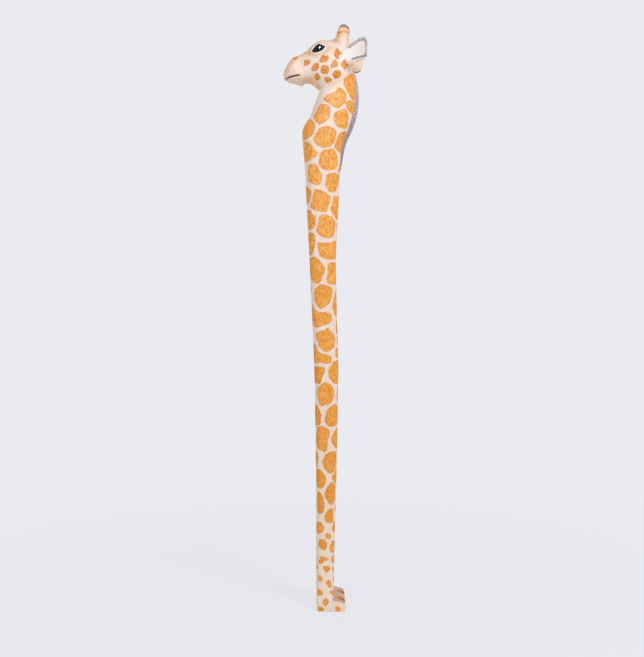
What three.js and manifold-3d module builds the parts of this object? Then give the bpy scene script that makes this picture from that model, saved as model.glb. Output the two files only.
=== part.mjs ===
// A giraffe back scratcher: a painted wooden stick with a giraffe's head and neck at the top
// and a three-toed scratching foot at the bottom.
// Millimetres, +Z up. It stands on the sole of its foot, and the giraffe looks towards -X,
// so its left side is towards -Y.
import * as THREE from "three";
import { mergeVertices } from "three/addons/utils/BufferGeometryUtils.js";
import Module from "manifold-3d";

const wasm = await Module();
wasm.setup();

// ---- Driving dimensions ----

const GAP = 0.3; // clearance for glue round every piece that is let into another
const RING_POINTS = 28; // points round one section of the body
const HORN_POINTS = 20; // points round one section of a horn
const EAR_POINTS = 32; // points round an ear's edge
const BALL_SIDES = [20, 12]; // sides round and down a ball
const ROD_SIDES = 12; // sides of a dowel, tenon or peg
const STEPS = 2; // steps between two given sections
const LEAST = 0.5; // least half size of the head's core
const NOSE_CROWDING = 0.25; // how much the core's first sections keep of their spacing
const MERGE = 1e-4; // corners nearer than this are one

// Sections of the shaft and neck: height, front edge, back edge, half depth, squareness.
const SHAFT_SECTIONS = [
  [0, -6.2, 6.1, 17, 10],
  [1.2, -6.6, 6.2, 17.3, 10],
  [8, -6.6, 6.2, 17.1, 10],
  [20, -6.7, 6.4, 13.4, 5],
  [41, -6.8, 6.9, 8.2, 3.6],
  [79, -6.8, 7.8, 6.8, 3.2],
  [110, -7.2, 8.8, 7.2, 3.2],
  [156, -7.6, 9.5, 7.8, 3.2],
  [188, -8.5, 9.8, 8.2, 3.1],
  [217, -9.8, 8.9, 8.5, 3],
  [262, -11.9, 8.2, 9, 2.9],
  [308, -14.3, 10.2, 10.4, 2.8],
  [331, -15.5, 11.2, 11.2, 2.7],
  [350, -17, 13, 12, 2.6],
  [362, -16.9, 17.6, 12.5, 2.6],
  [373, -10.6, 21, 12.6, 2.5],
  [383, -7.3, 22.8, 12.4, 2.5],
  [393, -4, 23.2, 12.2, 2.4],
  [402, -1, 22, 11.6, 2.4],
  [409, 2, 19.5, 10, 2.4],
];

// Sections of the head: distance along X, lowest point, highest point, half width, squareness,
// and how much narrower the top is than the bottom.
const HEAD_SECTIONS = [
  [-32, 402.2, 405.2, 2.4, 2, 0],
  [-31.2, 400.6, 407, 4.6, 2.2, 0.05],
  [-29, 399, 411, 6.4, 2.4, 0.15],
  [-25.4, 397.8, 415.8, 7.6, 2.5, 0.25],
  [-20, 396.5, 418.1, 8.2, 2.5, 0.28],
  [-18.4, 395.6, 419, 8.3, 2.5, 0.26],
  [-16.6, 396.9, 420, 8.5, 2.5, 0.24],
  [-14.7, 397.8, 421.2, 8.8, 2.5, 0.22],
  [-9.5, 396.4, 425.8, 9.8, 2.5, 0.16],
  [-4.8, 392.5, 429, 11.2, 2.5, 0.14],
  [0, 391, 429.8, 12.3, 2.5, 0.18],
  [6, 390, 429.6, 12.9, 2.4, 0.2],
  [12, 391, 428.8, 12.8, 2.4, 0.18],
  [17, 395, 426.6, 11.4, 2.3, 0.12],
  [20.4, 400, 421.5, 8.2, 2.2, 0.05],
  [22, 406, 415.5, 3.6, 2, 0],
];

// The slit between the lips: its back end, its front end, how far it arches, its height and depth,
// and how far to each side its cutter reaches.
const MOUTH = { back: [-18.4, 400.8], front: [-33, 398.4], arch: 1.3, height: 0.8, depth: 1, reach: 13 };

// Sections of a horn: height, middle and half length along X, half width.
const HORN_SECTIONS = [
  [420.4, 12.2, 5.2, 3.4],
  [425, 12, 5.6, 3.6],
  [427.9, 11.9, 6.1, 3.9],
  [428.9, 12.35, 5.55, 3.8],
  [430.4, 12.9, 5, 3.7],
  [432.9, 13.5, 4.9, 3.65],
  [435.3, 13.8, 4.6, 3.5],
  [437.8, 13.9, 3.8, 2.9],
  [439.4, 13.9, 2.2, 1.7],
  [440, 13.9, 0.8, 0.6],
];
const HORN = { y: 5.8, tenonRadius: 2.4, tenonDepth: 3 };

const EYE = { x: -5.7, y: 9.9, z: 421, tilt: 0.42, length: 4.5, height: 2.9, bulge: 2.1 };
const EYE_PEG = { radius: 1.2, depth: 4 };

// The eye is where two balls cross: how far each sits off its middle and how long and tall each is,
// as shares of the eye's own size.
const EYE_BALL = { off: 0.6, long: 1.24, tall: 1.6 };

// Outline of each ear, seen from the giraffe's left: distance along X and height. The right ear is
// carved smaller, with a rounder lower end.
const EAR_OUTLINES = {
  left: [
    [12.4, 414.5],
    [15, 419.2],
    [18.3, 421.8],
    [24.3, 424.6],
    [27, 425.1],
    [29.3, 424.8],
    [30.8, 422.8],
    [31, 417],
    [30.9, 411.6],
    [29.6, 409.7],
    [26.8, 408.5],
    [19.5, 407],
    [14.8, 409],
  ],
  right: [
    [12.4, 414.5],
    [15, 419.2],
    [18.3, 421.8],
    [24.3, 424.6],
    [27, 425.1],
    [29.3, 424.4],
    [30.4, 421.6],
    [29.3, 415.9],
    [27.4, 412.6],
    [25.2, 411],
    [22.5, 410.6],
    [18, 410],
    [14.6, 410.8],
  ],
};

// The ear's dish: its middle, how far out it is at its tip, how much it leans out for each millimetre
// back, how deep it is hollowed, its wall, how round its edge is, and its size across.
const EAR = { x: 23, z: 417, tipX: 31, tipY: 22.5, splay: 0.6, cup: 2.8, wall: 2.2, round: 0.5, radius: 8 };
const EAR_RINGS = [0.02, 0.35, 0.6, 0.8, 0.93, 1]; // shares of the way from its middle to its edge
const EAR_TENON = { x: 16, z: 414.5, radius: 2.2, from: 5, to: 10.8 };

// Sections of the mane: height, how far it stands proud of the neck, half width.
const MANE_SECTIONS = [
  [330, 0.5, 0.9],
  [338, 1.2, 1.5],
  [350, 2.5, 2.2],
  [362, 3.1, 2.6],
  [375, 3.1, 2.7],
  [388, 2.2, 2.6],
  [398, 1.5, 2.3],
  [407, 1, 1.8],
];
const MANE_GROOVE = 2.2;
const MANE_SHOULDER = { proud: 0.6, half: 0.75 }; // shares of the section's own size
const MANE_CREST = 0.3; // half width of its flat crest, as a share

// The toe block: its tip along X, its height there and at the stick, its half width and how round
// its edges are. Its cutters are tall enough to pass right through.
const TOES = { tip: 15, tipHeight: 6.6, rootHeight: 8.6, half: 17.2, round: 1.2, tall: 20 };

// What is cut off each end corner of the toe block, seen from above.
const TOE_CORNERS = [
  { side: -1, leg: 0.6 },
  { side: 1, leg: 1.8 },
];
const SLITS = { at: [-9.4, 6.8], width: 3.6, length: 4.2 };
const DOWEL = { y: 10, z: 4, radius: 1.7, from: -3, to: 10 };

// ---- Materials ----

const paint = (color, roughness) => new THREE.MeshStandardMaterial({ color, roughness, metalness: 0 });
const CREAM_PAINT = paint(0xeddfcc, 0.6);
const EAR_PAINT = paint(0xd9cdc4, 0.6);
const MANE_PAINT = paint(0xa39a9c, 0.65);
const BARE_WOOD = paint(0xc9a273, 0.7);
const EYE_BLACK = paint(0x0b0a10, 0.12);

// ---- Geometry helpers ----

// Rows of numbers, with smooth rows added between them.
function smoothRows(rows) {
  const track = (column) => rows.map((row) => new THREE.Vector3(row[column], 0, 0));
  const curves = rows[0].map((_, column) => new THREE.CatmullRomCurve3(track(column), false, "catmullrom"));
  const count = (rows.length - 1) * STEPS;
  return Array.from({ length: count + 1 }, (_, i) => curves.map((curve) => curve.getPoint(i / count).x));
}

// A superellipse's point: how far along each axis at an angle.
function superellipse(angle, squareness) {
  const power = 2 / squareness;
  const along = (value) => Math.sign(value) * Math.abs(value) ** power;
  return [along(Math.cos(angle)), along(Math.sin(angle))];
}

// A closed solid through rings of points, with a flat fan over the first and last.
function loft(rings) {
  const size = rings[0].length;
  const middle = (ring) => ring.reduce((sum, p) => sum.add(p), new THREE.Vector3()).divideScalar(size);
  const points = [...rings.flat(), middle(rings[0]), middle(rings.at(-1))];
  const start = points.length - 2;
  const index = [];
  for (let i = 0; i < size; i++) {
    const next = (i + 1) % size;
    for (let r = 0; r < rings.length - 1; r++) {
      const a = r * size + i;
      const b = r * size + next;
      index.push(a, b, b + size, a, b + size, a + size);
    }
    const last = (rings.length - 1) * size;
    index.push(start, next, i, start + 1, last + i, last + next);
  }
  const geometry = new THREE.BufferGeometry().setFromPoints(points);
  geometry.setIndex(index);
  return geometry;
}

function toSolid(geometry, matrix = new THREE.Matrix4()) {
  const plain = new THREE.BufferGeometry().setAttribute("position", geometry.getAttribute("position").clone());
  plain.setIndex(geometry.index);
  const merged = mergeVertices(plain.applyMatrix4(matrix), MERGE);
  return new wasm.Manifold(
    new wasm.Mesh({
      numProp: 3,
      vertProperties: merged.attributes.position.array,
      triVerts: new Uint32Array(merged.index.array),
    }),
  );
}

function toGeometry(solid) {
  const mesh = solid.getMesh();
  const geometry = new THREE.BufferGeometry();
  geometry.setAttribute("position", new THREE.BufferAttribute(mesh.vertProperties, 3));
  geometry.setIndex(new THREE.BufferAttribute(mesh.triVerts, 1));
  geometry.computeVertexNormals();
  return geometry;
}

// A cylinder between two points.
function rod(from, to, radius) {
  const span = new THREE.Vector3().subVectors(to, from);
  const turn = new THREE.Quaternion().setFromUnitVectors(
    new THREE.Vector3(0, 1, 0),
    span.clone().normalize(),
  );
  const centre = new THREE.Vector3().addVectors(from, to).multiplyScalar(0.5);
  const place = new THREE.Matrix4().compose(centre, turn, new THREE.Vector3(1, 1, 1));
  return toSolid(new THREE.CylinderGeometry(radius, radius, span.length(), ROD_SIDES), place);
}

// ---- The carved body ----

function shaftSolid() {
  const rings = smoothRows(SHAFT_SECTIONS).map(([z, front, back, depth, squareness]) =>
    Array.from({ length: RING_POINTS }, (_, i) => {
      const [u, v] = superellipse((i / RING_POINTS) * 2 * Math.PI, squareness);
      return new THREE.Vector3((front + back) / 2 + (u * (back - front)) / 2, v * depth, z);
    }),
  );
  return toSolid(loft(rings));
}

// The head, or a core that lies an inset below its surface.
function headSolid(inset = 0) {
  const nose = HEAD_SECTIONS[0][0];
  const rings = smoothRows(HEAD_SECTIONS).map(([x, low, high, width, squareness, taper]) => {
    const across = Math.max(width - inset, LEAST);
    const tall = Math.max((high - low) / 2 - inset, LEAST);
    const along = Math.max(x, nose + inset + (x - nose) * NOSE_CROWDING);
    return Array.from({ length: RING_POINTS }, (_, i) => {
      const [u, v] = superellipse((i / RING_POINTS) * 2 * Math.PI, squareness);
      return new THREE.Vector3(along, u * across * (1 - taper * v), (low + high) / 2 + v * tall);
    });
  });
  return toSolid(loft(rings));
}

// A thin curved slab through the muzzle, left only where it is near the surface.
function mouthSolid() {
  const { back, front, arch, height, depth, reach } = MOUTH;
  const middle = [(back[0] + front[0]) / 2, (back[1] + front[1]) / 2 + arch];
  const shape = new THREE.Shape();
  shape.moveTo(back[0], back[1]);
  shape.quadraticCurveTo(middle[0], middle[1], front[0], front[1]);
  shape.lineTo(front[0], front[1] - height);
  shape.quadraticCurveTo(middle[0], middle[1] - height, back[0], back[1] - height / 2);
  const slab = new THREE.ExtrudeGeometry(shape, { depth: reach * 2, bevelEnabled: false, curveSegments: 6 });
  const place = new THREE.Matrix4().makeRotationX(Math.PI / 2);
  place.setPosition(0, reach, 0);
  return toSolid(slab, place).subtract(headSolid(depth));
}

// ---- Horns ----

function hornSolid(side, extra = 0) {
  const rows = smoothRows(HORN_SECTIONS);
  const rings = rows.map(([z, middle, long, wide], row) =>
    Array.from({ length: HORN_POINTS }, (_, i) => {
      const angle = (i / HORN_POINTS) * 2 * Math.PI;
      const x = middle + (long + extra) * Math.cos(angle);
      const y = side * HORN.y + (wide + extra) * Math.sin(angle);
      return new THREE.Vector3(x, y, row === 0 ? z - extra : z);
    }),
  );
  const [seat, middle] = HORN_SECTIONS[0];
  const tenon = rod(
    new THREE.Vector3(middle, side * HORN.y, seat - HORN.tenonDepth - extra),
    new THREE.Vector3(middle, side * HORN.y, seat + HORN.tenonDepth),
    HORN.tenonRadius + extra,
  );
  return toSolid(loft(rings)).add(tenon);
}

// ---- Eyes ----

// An almond bead, where a low and a high flattened ball cross, on a round peg.
function eyeSolid(side, extra = 0) {
  const { x, y, z, tilt, length, height, bulge } = EYE;
  const { off, long, tall } = EYE_BALL;
  const [lowBall, highBall] = [-1, 1].map((up) => {
    const ball = new THREE.SphereGeometry(1, ...BALL_SIDES);
    const place = new THREE.Matrix4().makeTranslation(x, side * y, z);
    place.multiply(new THREE.Matrix4().makeRotationY(-tilt));
    place.multiply(new THREE.Matrix4().makeTranslation(0, 0, up * height * off));
    place.scale(new THREE.Vector3(length * long + extra, bulge + extra, height * tall + extra));
    return toSolid(ball, place);
  });
  const peg = rod(
    new THREE.Vector3(x, side * (y - EYE_PEG.depth - extra), z),
    new THREE.Vector3(x, side * y, z),
    EYE_PEG.radius + extra,
  );
  return lowBall.intersect(highBall).add(peg);
}

// ---- Ears ----

function earSolid(side, extra = 0) {
  const outline = new THREE.CatmullRomCurve3(
    EAR_OUTLINES[side < 0 ? "left" : "right"].map(([x, z]) => new THREE.Vector3(x - EAR.x, 0, z - EAR.z)),
    true,
  ).getPoints(EAR_POINTS);
  outline.pop();
  const grow = 1 + extra / EAR.radius;
  const surface = (share, lift) =>
    outline.map((edge) => {
      const x = EAR.x + edge.x * share * grow;
      const z = EAR.z + edge.z * share * grow;
      const away = EAR.tipY - EAR.splay * (EAR.tipX - x) - EAR.cup * (1 - share * share) + lift;
      return new THREE.Vector3(x, side * away, z);
    });
  const rounding = (share) => (share === 1 ? EAR.round : 0);
  const hollow = EAR_RINGS.map((share) => surface(share, extra - rounding(share)));
  const behind = EAR_RINGS.map((share) => surface(share, rounding(share) - EAR.wall - extra)).reverse();
  const rings = [...hollow, ...behind];
  const dish = toSolid(loft(side < 0 ? rings : rings.map((ring) => [...ring].reverse())));
  const tenon = rod(
    new THREE.Vector3(EAR_TENON.x, side * (EAR_TENON.from - extra), EAR_TENON.z),
    new THREE.Vector3(EAR_TENON.x, side * EAR_TENON.to, EAR_TENON.z),
    EAR_TENON.radius + extra,
  );
  return dish.add(tenon);
}

// ---- Mane ----

// The neck's back edge at a height, read from its sections.
function neckBack(height) {
  const rows = smoothRows(SHAFT_SECTIONS);
  const above = rows.findIndex((row) => row[0] >= height);
  const low = rows[above - 1];
  const high = rows[above];
  return THREE.MathUtils.mapLinear(height, low[0], high[0], low[2], high[2]);
}

function maneSolid(extra = 0) {
  const rows = smoothRows(MANE_SECTIONS);
  const rings = rows.map(([z, proud, half], i) => {
    const end = i === 0 ? -extra : i === rows.length - 1 ? extra : 0;
    const back = neckBack(z);
    const inner = back - MANE_GROOVE - extra;
    const shoulder = back + proud * MANE_SHOULDER.proud + extra;
    const outer = back + proud + extra;
    const width = half + extra;
    const corners = [
      [inner, -width],
      [back, -width],
      [shoulder, -width * MANE_SHOULDER.half],
      [outer, -width * MANE_CREST],
      [outer, width * MANE_CREST],
      [shoulder, width * MANE_SHOULDER.half],
      [back, width],
      [inner, width],
    ];
    return corners.map(([x, y]) => new THREE.Vector3(x, y, z + end));
  });
  return toSolid(loft(rings));
}

// ---- Toes ----

function toeSolid() {
  const glueFace = SHAFT_SECTIONS[1][2] + GAP;
  const { tip, tipHeight, rootHeight, half, round, tall } = TOES;
  const profile = new THREE.Shape();
  profile.moveTo(glueFace, 0);
  profile.lineTo(tip - round, 0);
  profile.quadraticCurveTo(tip, 0, tip, round);
  profile.lineTo(tip, tipHeight - round);
  profile.quadraticCurveTo(tip, tipHeight, tip - round, tipHeight);
  profile.lineTo(glueFace, rootHeight);
  const bar = new THREE.ExtrudeGeometry(profile, { depth: half * 2, bevelEnabled: false, curveSegments: 4 });
  const place = new THREE.Matrix4().makeRotationX(Math.PI / 2);
  place.setPosition(0, half, 0);
  let block = toSolid(bar, place);
  for (const y of SLITS.at) {
    const cut = new THREE.BoxGeometry(SLITS.length * 2, SLITS.width, tall);
    block = block.subtract(toSolid(cut, new THREE.Matrix4().makeTranslation(tip, y, 0)));
  }
  for (const { side, leg } of TOE_CORNERS) {
    const reach = leg * 2;
    const shift = (reach - leg / Math.SQRT2) / Math.SQRT2;
    const wedge = new THREE.BoxGeometry(reach * 2, reach * 2, tall);
    const turn = new THREE.Matrix4().makeRotationZ(Math.PI / 4);
    turn.setPosition(tip + shift, side * (half + shift), 0);
    block = block.subtract(toSolid(wedge, turn));
  }
  return block;
}

function dowelSolid(side, extra = 0) {
  return rod(
    new THREE.Vector3(DOWEL.from - extra, side * DOWEL.y, DOWEL.z),
    new THREE.Vector3(DOWEL.to + extra, side * DOWEL.y, DOWEL.z),
    DOWEL.radius + extra,
  );
}

// ---- Assembly ----

const LEFT = -1;
const RIGHT = 1;
const SIDES = { left: LEFT, right: RIGHT };
const pieces = {};

let body = shaftSolid().add(headSolid());
let toes = toeSolid();
body = body.subtract(maneSolid(GAP)).subtract(mouthSolid());
pieces.mane_strip = [maneSolid(), MANE_PAINT];
for (const [name, side] of Object.entries(SIDES)) {
  for (const socket of [hornSolid, eyeSolid, earSolid, dowelSolid]) body = body.subtract(socket(side, GAP));
  toes = toes.subtract(dowelSolid(side, GAP));
  pieces[`ossicone_${name}`] = [hornSolid(side), CREAM_PAINT];
  pieces[`eye_${name}`] = [eyeSolid(side), EYE_BLACK];
  pieces[`ear_${name}`] = [earSolid(side), EAR_PAINT];
  pieces[`toe_dowel_${name}`] = [dowelSolid(side), BARE_WOOD];
}
pieces.carved_body = [body, CREAM_PAINT];
pieces.toe_block = [toes, CREAM_PAINT];

const giraffe = new THREE.Group();
for (const [name, [solid, material]] of Object.entries(pieces)) {
  const mesh = new THREE.Mesh(toGeometry(solid), material);
  mesh.name = name;
  giraffe.add(mesh);
}

export default giraffe;
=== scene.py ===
import math

import bmesh
import bpy
import numpy as np
from mathutils import Euler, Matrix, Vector, noise
from mathutils.kdtree import KDTree


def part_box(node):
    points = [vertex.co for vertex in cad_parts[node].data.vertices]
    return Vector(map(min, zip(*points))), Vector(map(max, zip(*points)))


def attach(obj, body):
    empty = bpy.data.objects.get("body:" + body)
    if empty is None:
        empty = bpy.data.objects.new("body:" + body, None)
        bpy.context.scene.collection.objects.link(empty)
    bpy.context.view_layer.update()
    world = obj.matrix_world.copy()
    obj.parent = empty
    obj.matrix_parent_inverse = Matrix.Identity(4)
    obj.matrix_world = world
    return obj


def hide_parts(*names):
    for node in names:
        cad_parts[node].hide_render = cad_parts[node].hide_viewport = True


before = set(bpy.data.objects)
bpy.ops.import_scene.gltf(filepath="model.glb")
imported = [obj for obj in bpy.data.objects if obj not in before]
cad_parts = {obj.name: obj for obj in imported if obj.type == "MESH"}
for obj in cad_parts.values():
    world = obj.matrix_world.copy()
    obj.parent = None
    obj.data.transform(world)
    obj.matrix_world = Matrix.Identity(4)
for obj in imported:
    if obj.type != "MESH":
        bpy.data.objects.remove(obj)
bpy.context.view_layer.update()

MM = 0.001
FAR = 99.0  # stands for a distance that is too long to matter

# ---- The carved body's sections, in millimetres ----

# Height, front edge, back edge, half depth, squareness.
SHAFT_SECTIONS = [
    (0, -6.2, 6.1, 17, 10),
    (1.2, -6.6, 6.2, 17.3, 10),
    (8, -6.6, 6.2, 17.1, 10),
    (20, -6.7, 6.4, 13.4, 5),
    (41, -6.8, 6.9, 8.2, 3.6),
    (79, -6.8, 7.8, 6.8, 3.2),
    (110, -7.2, 8.8, 7.2, 3.2),
    (156, -7.6, 9.5, 7.8, 3.2),
    (188, -8.5, 9.8, 8.2, 3.1),
    (217, -9.8, 8.9, 8.5, 3),
    (262, -11.9, 8.2, 9, 2.9),
    (308, -14.3, 10.2, 10.4, 2.8),
    (331, -15.5, 11.2, 11.2, 2.7),
    (350, -17, 13, 12, 2.6),
    (362, -16.9, 17.6, 12.5, 2.6),
    (373, -10.6, 21, 12.6, 2.5),
    (383, -7.3, 22.8, 12.4, 2.5),
    (393, -4, 23.2, 12.2, 2.4),
    (402, -1, 22, 11.6, 2.4),
    (409, 2, 19.5, 10, 2.4),
]

# Distance along X, lowest point, highest point, half width, squareness, narrowing of the top.
HEAD_SECTIONS = [
    (-32, 402.2, 405.2, 2.4, 2, 0),
    (-31.2, 400.6, 407, 4.6, 2.2, 0.05),
    (-29, 399, 411, 6.4, 2.4, 0.15),
    (-25.4, 397.8, 415.8, 7.6, 2.5, 0.25),
    (-20, 396.5, 418.1, 8.2, 2.5, 0.28),
    (-18.4, 395.6, 419, 8.3, 2.5, 0.26),
    (-16.6, 396.9, 420, 8.5, 2.5, 0.24),
    (-14.7, 397.8, 421.2, 8.8, 2.5, 0.22),
    (-9.5, 396.4, 425.8, 9.8, 2.5, 0.16),
    (-4.8, 392.5, 429, 11.2, 2.5, 0.14),
    (0, 391, 429.8, 12.3, 2.5, 0.18),
    (6, 390, 429.6, 12.9, 2.4, 0.2),
    (12, 391, 428.8, 12.8, 2.4, 0.18),
    (17, 395, 426.6, 11.4, 2.3, 0.12),
    (20.4, 400, 421.5, 8.2, 2.2, 0.05),
    (22, 406, 415.5, 3.6, 2, 0),
]

VOXEL = 0.64  # grain of the body's mesh
RING_POINTS = 96  # points round each section of the body
MOUTH = ((-18.2, 401), (-24, 400.4), (-31, 399.6))  # a quadratic curve's back end, bend and front end
LIP_LINE = [(-31, 399.6), (-25, 400.3), (-21, 400.7), (-18, 401)]  # parts the upper lip from the lower
JAW = (391, 396)  # heights over which the head's own carving sets in
# The eye's middle, and how far its bead leans in towards the top and turns out towards the back.
EYE = {"x": -5.7, "z": 421, "lean": 0.16, "turn": 0.1}
EYE_OUTLINE = [
    (-4.2, -2.1), (-2.7, 0.2), (-1, 1.9), (0.2, 2.8), (0.9, 2.9), (2, 2.4), (4.6, 1.2), (5, 0.7),
    (4.4, -0.5), (2.7, -2.2), (-0.7, -3.2), (-3.4, -3), (-4.1, -2.7),
]

# Soft rises (or hollows, if negative) of the head: distance along X, height, reach, rise.
RELIEF = [
    (-12.5, 401.5, 3.6, -0.45), (-19, 409, 4.5, -0.35), (5, 402.5, 7, 0.45), (-25.5, 409.5, 3, 0.25),
    (-27.5, 404, 2, 0.15), (-1, 415.5, 3.5, -0.25), (9, 412, 6, 0.15), (-9, 411, 3.5, 0.2),
]
# Creases: a quadratic curve's end, bend and end, then depth and width.
CREASES = [
    (((-17, 405.5), (-15, 402.5), (-16, 398.5)), 0.3, 0.6),
    (((-15.5, 407), (-12.5, 404), (-12.8, 399.5)), 0.22, 0.7),
    (((-21, 414.4), (-25.3, 411.2), (-28.4, 404.3)), 0.22, 0.6),
    (((-4.5, 391.8), (4, 390.5), (12.5, 394)), 0.3, 0.9),
    (((-10.5, 417.2), (-6, 414.8), (0.5, 418.3)), 0.3, 0.6),
    (((-0.3, 420.8), (3, 421.6), (6.5, 420.3)), 0.25, 0.6),
    (((-16, 413), (-12, 412), (-8, 414)), 0.15, 0.6),
    (((14.5, 413), (13.5, 404), (9, 395)), 0.2, 0.9),
]

# ---- Toes, horns, ears and mane, in millimetres ----

SLITS = ((-9.6, 0.28), (6.8, 0.3))  # where each slit between the toes is, and how far it slants
TOE_PATCH = [(8, 4.3), (9.7, 3.9), (11.3, 2.8), (10.8, 0.9), (8.6, 0.6), (7.6, 2.2)]

# Height, middle and half length along X, half width.
HORN_SECTIONS = [
    (420.4, 12.2, 5.2, 3.4), (425, 12, 5.6, 3.6), (427.9, 11.9, 6.1, 3.9), (428.9, 12.35, 5.55, 3.8),
    (430.4, 12.9, 5, 3.7), (432.9, 13.5, 4.9, 3.65), (435.3, 13.8, 4.6, 3.5), (437.8, 13.9, 3.8, 2.9),
    (439, 13.9, 2.6, 2), (439.7, 13.9, 1.4, 1.1), (439.95, 13.9, 0.4, 0.3),
]
HORN_Y = 5.8
HORN_POINTS = 72  # points round each section
HORN_BAND = 432.5  # height where the orange band begins
CAP_SLOPE = 0.27  # how much lower the grey cap begins with each millimetre towards the back
HORN_CAP = 439.3  # where the cap begins on that slope; the very top, near this height, is darker

# Distance along X and height. The right ear is smaller, with a rounder lower end.
LEFT_EAR = [
    (12.4, 414.5), (15, 419.2), (18.3, 421.8), (24.3, 424.6), (27, 425.1), (29.3, 424.8), (30.8, 422.8),
    (31, 417), (30.9, 411.6), (29.6, 409.7), (26.8, 408.5), (19.5, 407), (14.8, 409),
]
RIGHT_EAR = [
    (12.4, 414.5), (15, 419.2), (18.3, 421.8), (24.3, 424.6), (27, 425.1), (29.3, 424.4), (30.4, 421.6),
    (29.3, 415.9), (27.4, 412.6), (25.2, 411), (22.5, 410.6), (18, 410), (14.6, 410.8),
]
EAR = {"x": 23, "z": 417, "tip_x": 31, "tip_y": 22.5, "splay": 0.6, "wall": 2.2, "cup": 2}

# The grey rim round the hollow: bearing from the ear's middle in degrees, inner and outer edge as a share
# of the way out, strength.
RIM = [
    (-180, 0.7, 1.2, 0), (-125, 0.56, 0.74, 0), (-112, 0.51, 0.77, 1), (-75, 0.53, 0.81, 1),
    (-50, 0.65, 0.98, 1), (-38, 0.74, 1.2, 1), (0, 0.8, 1.2, 1), (30, 0.78, 1.2, 1), (55, 0.72, 1.2, 1),
    (100, 0.64, 1.2, 1), (153, 0.65, 1.2, 1), (165, 0.73, 1.2, 0), (180, 0.7, 1.2, 0),
]

# Height, how far it stands proud of the neck, half width.
MANE_SECTIONS = [
    (329.5, 0.1, 0.5), (332, 0.7, 1), (338, 1.3, 1.6), (350, 2.5, 2.2), (362, 3.1, 2.6), (375, 3.1, 2.7),
    (388, 2.2, 2.6), (398, 1.5, 2.3), (407, 1, 1.8),
]

# ---- Painted patches, in millimetres ----

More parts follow.
